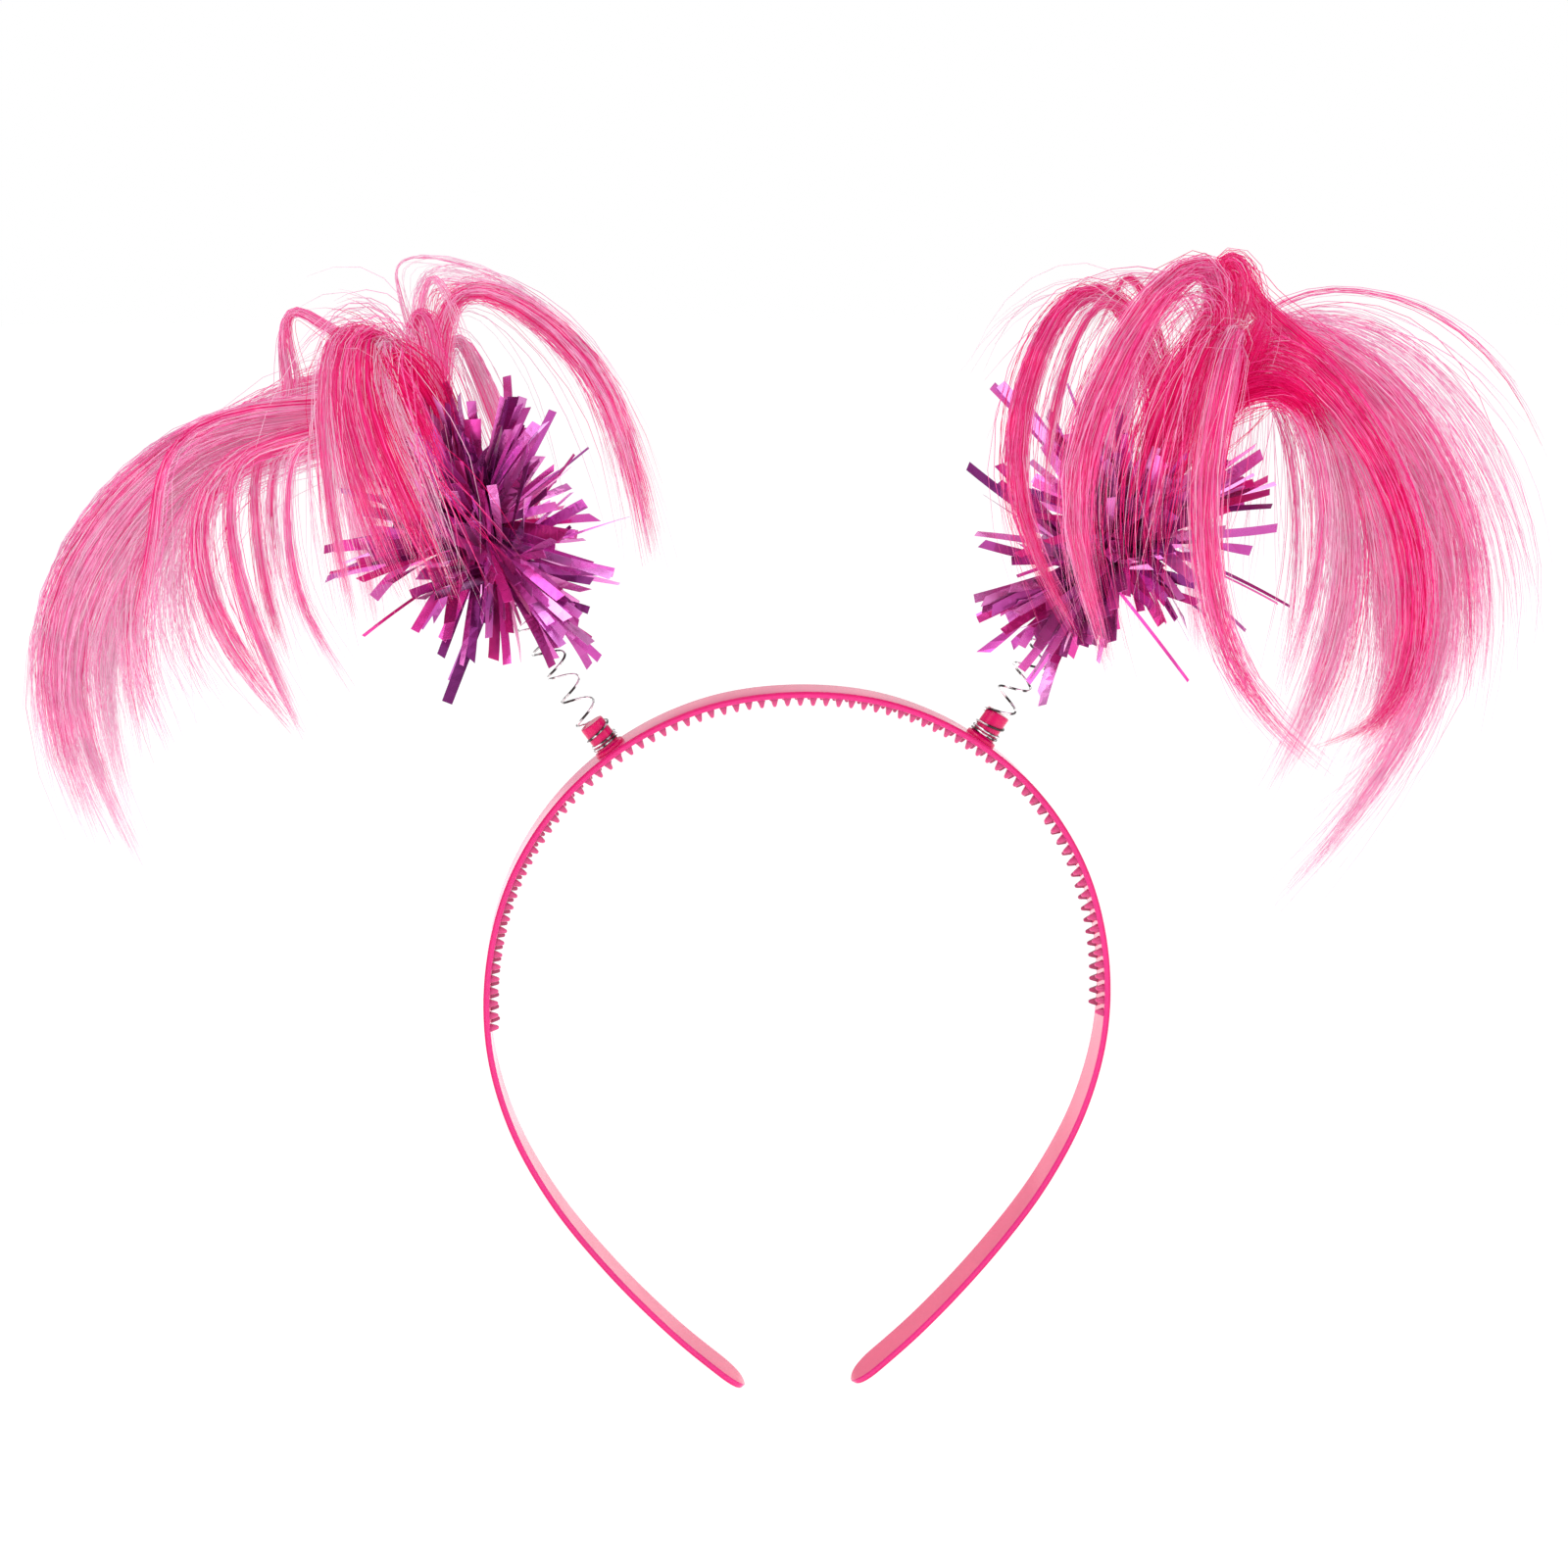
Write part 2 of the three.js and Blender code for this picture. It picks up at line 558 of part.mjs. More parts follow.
// Reach of a pompom at an angle in the XZ plane, from its table.
function reachAt(side, deg) {
  const table = POMPOM_REACH[side];
  const closed = [...table, { deg: 360, reach: table[0].reach }];
  return read(closed, 'deg', 'reach', ((deg % 360) + 360) % 360);
}

// A ball of blunt bunches: every second point of the grid stands at the full
// reach, the others in the valleys between the bunches.
function pompomGeometry(row) {
  const at = new THREE.Vector3(row.tie[0], 0, row.tie[1]);
  const positions = [];
  const pole = (sign) => positions.push(at.x, sign * POMPOM_REACH_Y, at.z);
  pole(-1);
  for (let i = 1; i < POMPOM_RINGS; i += 1) {
    const polar = (i / POMPOM_RINGS) * Math.PI;
    for (let j = 0; j < POMPOM_SIDES; j += 1) {
      const around = ((j + (i % 2) * 0.5) / POMPOM_SIDES) * Math.PI * 2;
      const bunch = (i + j) % 2 === 0 ? 1 : POMPOM_VALLEY;
      const reach = reachAt(row.side, THREE.MathUtils.radToDeg(around)) * bunch;
      const reachY = POMPOM_REACH_Y * bunch;
      positions.push(
        at.x + reach * Math.sin(polar) * Math.cos(around),
        -reachY * Math.cos(polar),
        at.z + reach * Math.sin(polar) * Math.sin(around),
      );
    }
  }
  pole(1);
  const index = [];
  const ringAt = (i, j) => 1 + (i - 1) * POMPOM_SIDES + (j % POMPOM_SIDES);
  for (let j = 0; j < POMPOM_SIDES; j += 1) index.push(0, ringAt(1, j + 1), ringAt(1, j));
  for (let i = 1; i + 1 < POMPOM_RINGS; i += 1) {
    for (let j = 0; j < POMPOM_SIDES; j += 1) {
      const a = ringAt(i, j);
      const b = ringAt(i, j + 1);
      const c = ringAt(i + 1, j);
      const d = ringAt(i + 1, j + 1);
      if (i % 2) index.push(a, b, d, a, d, c);
      else index.push(a, b, c, b, d, c);
    }
  }
  const last = positions.length / 3 - 1;
  for (let j = 0; j < POMPOM_SIDES; j += 1) {
    index.push(last, ringAt(POMPOM_RINGS - 1, j), ringAt(POMPOM_RINGS - 1, j + 1));
  }
  const geometry = new THREE.BufferGeometry();
  geometry.setAttribute('position', new THREE.Float32BufferAttribute(positions, 3));
  geometry.setIndex(index);
  return geometry;
}

// The pompom is open along the spring and the tie, and along the stem.
function pompomBody(row) {
  const { at, lean } = tieFrame(row);
  const bore = new THREE.CylinderGeometry(POMPOM_BORE / 2, POMPOM_BORE / 2, 60, 12);
  bore.applyQuaternion(new THREE.Quaternion().setFromUnitVectors(new THREE.Vector3(0, 1, 0), lean));
  bore.translate(at.x - lean.x * 24, 0, at.z - lean.z * 24);
  const stemPoints = [
    new THREE.Vector3(at.x, 0, at.z),
    ...STEMS[row.side].map((p) => new THREE.Vector3(p.x, p.y, p.z)),
  ];
  const tunnel = lockGeometry(
    stemPoints,
    STEM_RADIUS + STEM_CLEARANCE,
    STEM_RADIUS + STEM_CLEARANCE,
    [{ at: 0, share: 0.95 }, { at: 0.3, share: 1.0 }, { at: 1, share: 1.35 }],
    STEM_STATIONS,
    8,
  );
  return mainSkin(solid(pompomGeometry(row)).subtract(joined([solid(bore), solid(tunnel)])));
}

// --------------------------------------------------------------------- scene

const materials = {
  plastic: { color: 0xf0408c, roughness: 0.32, metalness: 0.0 },
  steel: { color: 0xb8b8bc, roughness: 0.3, metalness: 1.0 },
  knot: { color: 0x8c2a66, roughness: 0.6, metalness: 0.0 },
  foil: { color: 0x9b2fa0, roughness: 0.28, metalness: 0.9 },
  hair: { color: 0xf2508f, roughness: 0.5, metalness: 0.0 },
};

const group = new THREE.Group();
function place(name, body, material) {
  const mesh = new THREE.Mesh(surface(body), new THREE.MeshStandardMaterial(materials[material]));
  mesh.name = name;
  group.add(mesh);
}

place('headband', headbandBody, 'plastic');
for (const row of BOPPERS) {
  place(`spring_${row.side}`, springBody(row), 'steel');
  place(`tie_${row.side}`, tieBody(row), 'knot');
  place(`tinsel_${row.side}`, pompomBody(row), 'foil');
  place(`hair_${row.side}`, hairBody(row.side), 'hair');
}

export default group;
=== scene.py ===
import bpy
import json
import math
import numpy as np
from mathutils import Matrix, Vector


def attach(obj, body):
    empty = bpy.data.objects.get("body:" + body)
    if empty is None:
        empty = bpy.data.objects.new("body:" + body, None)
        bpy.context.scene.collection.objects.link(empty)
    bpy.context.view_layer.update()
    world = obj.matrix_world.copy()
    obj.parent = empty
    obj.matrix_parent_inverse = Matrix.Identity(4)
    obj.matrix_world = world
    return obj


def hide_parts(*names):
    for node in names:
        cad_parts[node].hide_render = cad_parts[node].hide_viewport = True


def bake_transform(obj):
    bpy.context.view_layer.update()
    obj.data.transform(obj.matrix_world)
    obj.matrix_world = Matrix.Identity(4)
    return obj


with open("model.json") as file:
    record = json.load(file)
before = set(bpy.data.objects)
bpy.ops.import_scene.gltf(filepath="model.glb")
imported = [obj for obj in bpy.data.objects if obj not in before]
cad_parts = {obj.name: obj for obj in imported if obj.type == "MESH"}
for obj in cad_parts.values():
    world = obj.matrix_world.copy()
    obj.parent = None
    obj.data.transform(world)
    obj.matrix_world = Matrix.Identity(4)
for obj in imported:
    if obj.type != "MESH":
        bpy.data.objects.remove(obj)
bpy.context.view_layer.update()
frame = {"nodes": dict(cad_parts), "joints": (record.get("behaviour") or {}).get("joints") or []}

MM = 0.001

# Camera axis, the way the photograph looks at the object.
CAMERA_AT = (-0.045, -0.5, 0.0952)
CAMERA_TO = (-0.003, 0.0, -0.0168)
VIEW_AXIS = np.array(CAMERA_TO) - np.array(CAMERA_AT)
VIEW_AXIS = VIEW_AXIS / np.linalg.norm(VIEW_AXIS)

# ------------------------------------------------------------ measured tables

# Headband outline: degrees from the crown -> radius of the outer face, mm.
OUTLINE_CENTRE_Z = 3.05 - 65.85
OUTLINE = [
    (0, 65.85), (16, 66.15), (32, 66.2), (48, 66.05), (64, 65.65), (80, 65.1),
    (96, 65.1), (112, 65.5), (128, 66.9), (144, 70.45), (160, 78.1), (172, 87.5),
]
BAND_DEPTH = 9.0
BAND_THICKNESS = 1.3
PADDLE_LENGTH = 7.0
TOOTH_HEIGHT = 1.75
TOOTH_PITCH = 2.67
TOOTH_ROW_Y = 3.3
TOOTH_STAGGER = 0.2
TOOTH_FROM_DEG = -93
TOOTH_TO_DEG = 95

COIL_TABLE = [
    (0, 1.2), (1, 1.9), (2, 2.65), (3, 5.4), (4, 10.9), (5, 16.5), (6, 22.1),
    (7, 27.7), (8, 33.3), (9, 38.0), (10, 38.8), (10.5, 39.2),
]
COIL_DIAMETER = 5.7
SWING = math.radians(25.0)      # how far a bopper nods or sways each way
WIRE_DIAMETER = 0.5

BOPPERS = {
    "left": dict(post=-35.3, tie=(-60.0, 29.2), bend=-28.0, phase=40.0, pivot=14.3),
    "right": dict(post=34.3, tie=(61.6, 28.8), bend=37.0, phase=150.0, pivot=14.6),
}

# Locks of fibre: name, strands, tone (0 deep, 1 pale: partly painted shade in the deep stems and cores, painted sheen
# in the pale locks), fray, clump, depth share, and the stations x, y, z, half width, in mm.
# <locks>
LOCKS = {
    "left": [
        ("arch_inner", 300, 0.34, 0.25, 0.50, 0.90, [(-67.0, 0, 39.8, 1.2), (-71.1, 0, 55.2, 1.6), (-71.4, 1, 65.6, 1.7), (-70.4, 2, 74.9, 1.7), (-67.8, 2, 80.9, 1.5), (-63.2, 2, 82.8, 1.5), (-57.0, 1, 81.3, 1.7), (-49.7, 0, 76.6, 2.0), (-41.8, -2, 69.4, 2.1), (-36.7, -4, 60.0, 2.2), (-33.6, -5, 50.6, 2.4), (-31.6, -6, 42.5, 2.6), (-30.2, -6, 34.0, 2.5)]),
        ("arch_inner_outer", 44, 0.50, 0.35, 0.50, 1.00, [(-71.2, 2, 55.0, 1.5), (-71.4, 3, 68.3, 1.5), (-69.9, 4, 78.1, 1.3), (-65.2, 4, 83.1, 1.1), (-59.2, 3, 83.7, 1.3), (-51.7, 2, 80.0, 1.5), (-42.9, 0, 72.5, 1.7), (-37.3, -2, 64.3, 1.9), (-34.1, -4, 55.3, 2.1), (-31.9, -6, 45.9, 2.9), (-29.8, -8, 36.5, 3.4)]),
        ("back_inner", 200, 0.50, 0.30, 0.60, 0.90, [(-67.1, 2, 39.6, 1.2), (-71.7, 4, 54.9, 1.5), (-70.8, 8, 65.1, 1.4), (-69.1, 13, 71.6, 1.2), (-66.8, 17, 71.8, 1.3), (-63.9, 21, 66.1, 1.5), (-61.2, 24, 58.8, 1.6), (-59.1, 26, 51.6, 1.6), (-55.7, 27, 42.4, 1.6), (-53.0, 27, 34.6, 1.5), (-50.9, 26, 25.5, 1.3)]),
        ("wisp_loop", 12, 0.50, 0.50, 0.30, 1.00, [(-71.3, 4, 56.8, 1.2), (-74.4, 6, 69.1, 1.5), (-77.2, 7, 79.5, 1.2), (-78.7, 7, 85.9, 0.5), (-76.9, 7, 88.1, 0.5), (-72.6, 7, 88.5, 0.8), (-66.6, 6, 87.6, 1.1), (-60.2, 5, 85.2, 1.3), (-51.7, 3, 80.1, 1.3), (-43.3, 1, 73.2, 1.5), (-36.8, -2, 63.7, 1.7), (-32.6, -4, 53.4, 2.5)]),
        ("wisp_peak", 26, 0.55, 0.50, 0.40, 1.00, [(-71.6, 3, 56.9, 1.0), (-72.7, 3, 69.2, 1.5), (-73.6, 3, 78.1, 1.1), (-71.3, 3, 85.0, 0.6), (-68.9, 2, 82.2, 0.8), (-66.7, 0, 75.9, 1.1), (-64.2, -3, 68.6, 1.5)]),
        ("stem_left_bunch", 130, 0.30, 0.30, 0.50, 1.00, [(-68.4, 0, 43.7, 1.3), (-72.1, -2, 57.3, 1.9), (-74.0, -3, 67.7, 1.9), (-75.5, -3, 74.2, 1.3), (-74.0, -3, 78.3, 1.1), (-72.1, -4, 77.6, 1.3), (-70.3, -6, 72.5, 1.5), (-69.7, -9, 63.4, 1.3), (-69.4, -13, 54.4, 1.1)]),
        ("front_outer", 105, 0.34, 0.30, 0.60, 0.80, [(-67.0, 0, 39.8, 1.2), (-72.1, -2, 55.4, 2.1), (-78.2, -5, 66.0, 2.3), (-83.3, -9, 73.0, 2.1), (-87.4, -13, 75.4, 1.8), (-89.7, -17, 72.7, 1.6), (-90.6, -22, 65.8, 1.5), (-90.6, -26, 56.3, 1.4), (-89.9, -28, 46.8, 1.2), (-88.8, -29, 37.4, 1.1), (-87.6, -28, 28.9, 1.0), (-86.3, -27, 21.7, 0.8)]),
        ("front_left_mid", 180, 0.30, 0.40, 0.50, 0.70, [(-67.0, 0, 39.8, 1.2), (-72.1, -3, 55.4, 2.1), (-77.5, -7, 67.0, 2.3), (-82.1, -12, 73.7, 2.2), (-85.4, -16, 75.4, 2.0), (-87.5, -21, 71.5, 2.0), (-87.7, -26, 63.7, 2.3), (-86.3, -29, 54.9, 2.7), (-83.6, -31, 46.1, 3.1), (-80.4, -32, 37.7, 3.0), (-77.2, -31, 29.5, 2.0)]),
        ("front_bright", 240, 0.12, 0.40, 0.60, 0.70, [(-67.0, 0, 39.8, 1.2), (-72.0, -4, 55.5, 2.1), (-76.6, -9, 66.7, 2.2), (-80.5, -14, 72.9, 2.2), (-82.9, -18, 74.5, 2.0), (-83.7, -22, 69.7, 2.2), (-83.0, -27, 62.5, 2.3), (-80.3, -31, 55.1, 2.4), (-76.7, -33, 46.6, 2.5), (-72.8, -34, 38.2, 2.4), (-68.8, -33, 29.3, 1.5)]),
        ("front_right_mid", 26, 0.50, 0.35, 0.50, 0.70, [(-67.0, 0, 39.8, 1.2), (-72.0, -4, 55.5, 2.1), (-75.6, -9, 65.6, 2.1), (-79.1, -14, 72.5, 2.0), (-80.6, -17, 73.4, 1.8), (-79.9, -21, 66.9, 1.8), (-77.6, -26, 60.0, 2.0), (-74.4, -30, 50.8, 2.3), (-70.9, -33, 41.7, 2.3), (-68.3, -34, 32.8, 1.8), (-66.6, -34, 28.0, 1.1)]),
        ("front_veil", 16, 0.30, 0.60, 0.30, 0.80, [(-71.9, -6, 55.7, 1.9), (-76.4, -12, 68.2, 2.4), (-79.6, -16, 73.0, 2.2), (-78.0, -22, 67.0, 2.7), (-73.7, -27, 57.4, 3.1), (-68.8, -30, 46.8, 3.3), (-64.0, -31, 36.0, 3.1), (-60.6, -31, 27.5, 2.2)]),
        ("stem_dark", 330, 0.00, 0.20, 0.50, 0.60, [(-64.3, 6, 34.2, 1.2), (-67.7, 2, 45.4, 2.3), (-69.7, -6, 53.8, 2.8), (-72.1, -14, 61.5, 3.3), (-75.3, -18, 67.6, 3.3), (-79.3, -16, 71.9, 2.6), (-82.1, -12, 73.9, 1.7)]),
        ("stem_dark_low", 40, 0.08, 0.40, 0.50, 0.60, [(-82.3, -14, 74.0, 1.5), (-78.0, -21, 69.3, 2.6), (-74.4, -24, 63.5, 2.5), (-71.6, -24, 58.2, 2.0), (-69.4, -22, 51.8, 1.5), (-67.8, -20, 45.7, 0.9)]),
        ("sweep_top", 390, 0.50, 0.35, 0.50, 0.80, [(-67.0, 0, 39.8, 1.2), (-72.4, 2, 55.0, 2.1), (-78.8, 1, 60.5, 2.3), (-87.1, -2, 60.7, 2.1), (-96.2, -5, 58.8, 2.3), (-104.9, -7, 59.0, 2.4), (-113.4, -9, 57.3, 2.4), (-120.6, -10, 53.4, 2.6), (-128.2, -11, 46.8, 3.0), (-135.6, -11, 38.7, 3.2), (-142.1, -11, 28.6, 3.2), (-145.9, -10, 17.5, 3.0), (-147.2, -9, 6.2, 3.0), (-145.9, -8, -5.7, 2.9), (-142.0, -8, -17.2, 2.1)]),
        ("sweep_body", 370, 0.55, 0.40, 0.50, 0.80, [(-67.0, 0, 39.8, 1.2), (-72.4, 3, 55.0, 2.1), (-79.0, 3, 58.1, 2.5), (-87.4, 1, 57.1, 2.7), (-96.8, -1, 55.4, 2.9), (-105.6, -3, 54.5, 3.2), (-114.2, -5, 52.1, 3.4), (-122.1, -7, 47.5, 3.4), (-129.8, -8, 39.8, 3.6), (-136.3, -8, 30.0, 3.4), (-141.0, -8, 19.4, 3.2), (-143.3, -7, 8.5, 3.1), (-141.9, -6, -2.6, 2.9), (-138.6, -5, -13.9, 2.5), (-134.6, -5, -23.2, 1.8)]),
        ("sweep_under", 230, 0.60, 0.35, 0.50, 0.80, [(-67.0, 0, 39.8, 1.2), (-72.5, 4, 54.9, 2.1), (-79.2, 5, 55.6, 2.3), (-87.9, 5, 53.8, 2.3), (-97.4, 4, 52.0, 2.3), (-106.5, 3, 50.6, 2.3), (-115.4, 2, 47.3, 2.5), (-122.9, 1, 41.8, 2.5), (-129.6, 0, 32.7, 2.7), (-135.1, 0, 22.0, 2.5), (-138.0, 0, 11.1, 2.3), (-137.9, 0, -0.3, 2.1), (-136.1, 1, -12.5, 1.6)]),
        ("sweep_line", 60, 0.38, 0.08, 0.90, 0.90, [(-72.3, 0, 55.2, 1.2), (-80.2, -6, 60.6, 0.8), (-88.9, -13, 61.9, 0.6), (-96.7, -17, 61.7, 0.6), (-103.8, -19, 61.5, 0.5), (-110.4, -21, 60.0, 0.5), (-116.1, -22, 57.3, 0.6), (-120.2, -23, 52.7, 0.7), (-122.1, -23, 46.5, 0.9), (-122.8, -22, 39.1, 1.1), (-125.5, -20, 29.7, 1.3), (-127.8, -18, 20.0, 1.5)]),
        ("sweep_fan", 130, 0.56, 0.60, 0.45, 0.90, [(-87.7, 2, 53.2, 1.9), (-102.7, 0, 51.6, 2.1), (-115.3, -3, 47.1, 2.3), (-124.4, -5, 38.6, 2.8), (-129.7, -6, 27.8, 3.4), (-131.4, -6, 17.2, 3.8), (-130.3, -5, 6.4, 3.8), (-126.4, -4, -4.1, 2.9)]),
        ("sweep_fan_low", 100, 0.58, 0.70, 0.35, 0.90, [(-87.7, 2, 53.2, 1.7), (-100.8, 0, 51.6, 1.7), (-111.1, -6, 47.7, 2.1), (-118.8, -8, 38.4, 3.0), (-121.5, -9, 26.2, 3.8), (-119.1, -9, 13.7, 4.2), (-113.3, -9, 2.6, 3.3)]),
        ("sweep_front_a", 170, 0.44, 0.30, 0.60, 0.70, [(-72.1, -2, 55.4, 1.9), (-80.3, -6, 58.6, 2.1), (-89.3, -10, 56.9, 1.9), (-99.3, -13, 55.0, 1.7), (-108.3, -15, 51.5, 1.7), (-114.3, -16, 45.7, 1.7), (-116.5, -17, 36.6, 1.8), (-115.5, -17, 27.3, 2.0), (-112.2, -17, 18.2, 2.2), (-107.0, -16, 9.2, 2.1), (-101.0, -15, 1.2, 1.1)]),
        ("sweep_front_b", 140, 0.44, 0.20, 0.75, 0.80, [(-72.0, -4, 55.5, 1.5), (-80.1, -9, 57.8, 1.5), (-89.1, -13, 56.7, 1.2), (-98.8, -17, 54.9, 0.9), (-106.0, -19, 52.6, 0.8), (-109.0, -20, 47.6, 0.7), (-109.5, -20, 40.6, 0.8), (-108.8, -20, 32.3, 0.9), (-106.3, -20, 22.0, 1.1), (-102.7, -19, 11.5, 1.2), (-98.9, -18, 2.1, 0.9)]),
        ("sweep_front_c", 120, 0.44, 0.25, 0.70, 0.80, [(-72.1, -2, 55.4, 1.5), (-80.4, -5, 57.5, 1.4), (-89.5, -8, 56.3, 1.1), (-97.8, -10, 54.3, 0.8), (-103.5, -12, 52.7, 0.7), (-105.3, -13, 48.0, 0.7), (-105.3, -14, 41.4, 0.8), (-104.7, -14, 33.1, 0.9), (-103.9, -14, 26.1, 1.0), (-102.7, -14, 20.2, 1.0), (-101.0, -13, 14.3, 0.9)]),
        ("sweep_front_d", 40, 0.50, 0.40, 0.60, 0.90, [(-72.3, 0, 55.2, 1.5), (-80.7, 0, 56.8, 1.1), (-90.1, -2, 54.7, 0.9), (-97.5, -4, 53.4, 0.6), (-101.4, -5, 51.7, 0.5), (-103.0, -6, 46.5, 0.5), (-103.2, -7, 39.0, 0.6), (-102.8, -7, 31.0, 0.7), (-101.2, -7, 23.7, 0.9), (-99.0, -6, 16.8, 0.9)]),
        ("sweep_near", 90, 0.50, 0.35, 0.65, 0.90, [(-72.0, -4, 55.5, 1.7), (-79.1, -9, 58.2, 1.4), (-86.3, -13, 56.7, 1.1), (-92.0, -16, 55.2, 0.8), (-95.8, -18, 54.1, 0.7), (-98.0, -18, 49.9, 0.6), (-98.8, -19, 41.1, 0.6), (-98.3, -19, 32.0, 0.7), (-97.1, -18, 24.7, 0.9), (-94.0, -18, 18.1, 1.1), (-89.2, -17, 9.5, 1.1)]),
        ("loop_small", 110, 0.40, 0.30, 0.60, 1.00, [(-72.4, 2, 55.0, 1.5), (-78.8, 3, 64.5, 1.7), (-84.9, 4, 70.9, 1.3), (-89.9, 6, 73.5, 1.1), (-94.2, 8, 76.3, 0.9), (-97.8, 9, 78.5, 0.9), (-100.4, 10, 77.4, 1.0), (-101.3, 10, 73.8, 1.3), (-101.0, 9, 68.9, 1.7), (-99.5, 7, 64.0, 2.1), (-101.0, 4, 58.1, 2.1), (-106.2, 1, 52.3, 1.9)]),
        ("back_middle", 240, 0.50, 0.35, 0.50, 0.90, [(-67.0, 0, 39.8, 1.2), (-72.5, 4, 54.9, 1.9), (-77.8, 9, 65.1, 2.1), (-81.0, 14, 70.6, 2.1), (-82.9, 19, 71.0, 2.2), (-82.4, 25, 64.2, 2.4), (-81.1, 31, 54.8, 2.6), (-80.1, 35, 44.3, 2.9), (-78.9, 37, 33.7, 2.9), (-77.7, 38, 24.2, 2.7), (-76.2, 37, 16.6, 2.1)]),
        ("back_outer", 230, 0.50, 0.35, 0.50, 0.90, [(-67.0, 0, 39.8, 1.2), (-72.5, 4, 54.9, 1.9), (-79.2, 9, 65.1, 2.1), (-84.2, 14, 70.1, 2.0), (-88.5, 19, 69.5, 2.0), (-90.7, 24, 63.3, 2.2), (-91.4, 28, 54.3, 2.4), (-90.8, 31, 44.7, 2.4), (-90.1, 33, 34.3, 2.5), (-88.8, 33, 24.0, 2.3), (-87.4, 32, 15.4, 1.7)]),
        ("wild_front", 60, 0.50, 0.90, 0.10, 0.70, [(-67.0, 0, 39.8, 1.4), (-72.6, -6, 57.6, 3.6), (-77.9, -12, 68.8, 4.8), (-81.0, -17, 73.0, 5.5), (-81.0, -22, 64.3, 7.5), (-78.4, -24, 51.7, 9.0), (-75.1, -25, 39.0, 9.0), (-73.7, -25, 26.0, 7.6)]),
        ("wild_sweep", 78, 0.60, 0.90, 0.10, 0.60, [(-67.0, 0, 39.8, 1.4), (-74.1, 0, 57.1, 3.6), (-87.3, 0, 59.1, 4.3), (-102.1, -4, 55.7, 4.9), (-116.8, -8, 48.7, 6.4), (-126.5, -10, 34.0, 8.5), (-131.1, -10, 16.9, 9.9), (-128.5, -9, -0.7, 9.4)]),
        ("wild_top", 30, 0.60, 0.90, 0.10, 0.80, [(-68.8, 0, 43.7, 1.0), (-72.2, 2, 58.9, 1.9), (-73.8, 4, 73.9, 2.9), (-71.6, 4, 83.3, 2.9), (-62.1, 4, 83.3, 2.9), (-50.8, 2, 75.8, 3.8), (-41.5, 0, 64.5, 4.3), (-36.0, -2, 51.3, 4.8), (-34.3, -4, 38.0, 4.8)]),
        ("wild_diag", 9, 0.30, 0.20, 0.10, 0.60, [(-83.4, -18, 66.8, 3.7), (-76.3, -24, 60.8, 4.7), (-69.9, -29, 54.8, 5.4), (-63.7, -31, 48.7, 6.0), (-58.4, -31, 42.3, 6.0), (-54.1, -31, 35.9, 5.3)]),
        ("back_sweep", 260, 0.50, 0.35, 0.50, 0.90, [(-67.0, 0, 39.8, 1.2), (-72.5, 5, 54.8, 1.9), (-79.2, 8, 62.3, 2.1), (-88.1, 12, 63.6, 2.1), (-100.0, 15, 62.0, 2.4), (-112.2, 17, 56.1, 2.6), (-122.5, 18, 46.2, 2.8), (-131.0, 18, 33.4, 2.8), (-136.0, 18, 19.5, 2.6), (-137.2, 18, 6.4, 2.2), (-135.1, 18, -5.9, 1.4)]),
        ("wild_crown", 34, 0.45, 0.90, 0.10, 0.80, [(-68.4, 0, 43.7, 1.0), (-72.1, -2, 58.2, 2.5), (-76.7, -6, 69.7, 4.3), (-80.7, -10, 76.4, 5.6), (-86.1, -14, 78.7, 6.1), (-92.1, -18, 75.6, 6.0), (-95.9, -22, 68.0, 5.3)]),
    ],
    "right": [
        ("arch_left", 420, 0.26, 0.25, 0.55, 0.90, [(66.1, 0, 35.6, 1.0), (73.4, 1, 50.2, 1.7), (72.7, 3, 62.8, 1.8), (70.6, 4, 72.4, 1.6), (66.8, 4, 78.8, 1.4), (61.4, 3, 82.3, 1.3), (56.6, 1, 82.6, 1.3), (52.7, -1, 80.2, 1.7), (49.0, -4, 75.9, 2.0), (45.4, -8, 70.2, 2.0), (42.9, -12, 64.8, 1.9), (40.8, -16, 58.4, 1.9), (39.3, -20, 50.5, 1.8), (39.7, -24, 41.9, 1.6), (43.2, -27, 32.1, 1.4), (48.7, -29, 22.1, 1.0)]),
        ("arch_left_thin", 80, 0.35, 0.30, 0.70, 1.00, [(74.2, 1, 51.2, 1.2), (72.0, 2, 63.8, 1.2), (68.7, 1, 73.5, 0.9), (63.4, -1, 79.4, 0.7), (59.0, -3, 79.6, 0.6), (55.2, -6, 76.3, 0.6), (52.2, -10, 71.4, 0.6), (49.8, -14, 66.0, 0.6), (48.2, -17, 61.4, 0.6), (46.1, -21, 52.4, 0.7), (45.2, -25, 43.4, 0.7)]),
        ("small_loops", 40, 0.30, 0.50, 0.40, 1.00, [(77.2, 2, 57.9, 1.4), (73.0, 3, 71.5, 1.2), (69.5, 4, 81.1, 1.0), (67.1, 4, 84.2, 0.8), (65.1, 4, 84.6, 0.8), (63.7, 3, 81.9, 0.9), (61.1, 1, 77.4, 1.2), (57.5, -2, 71.8, 1.4)]),
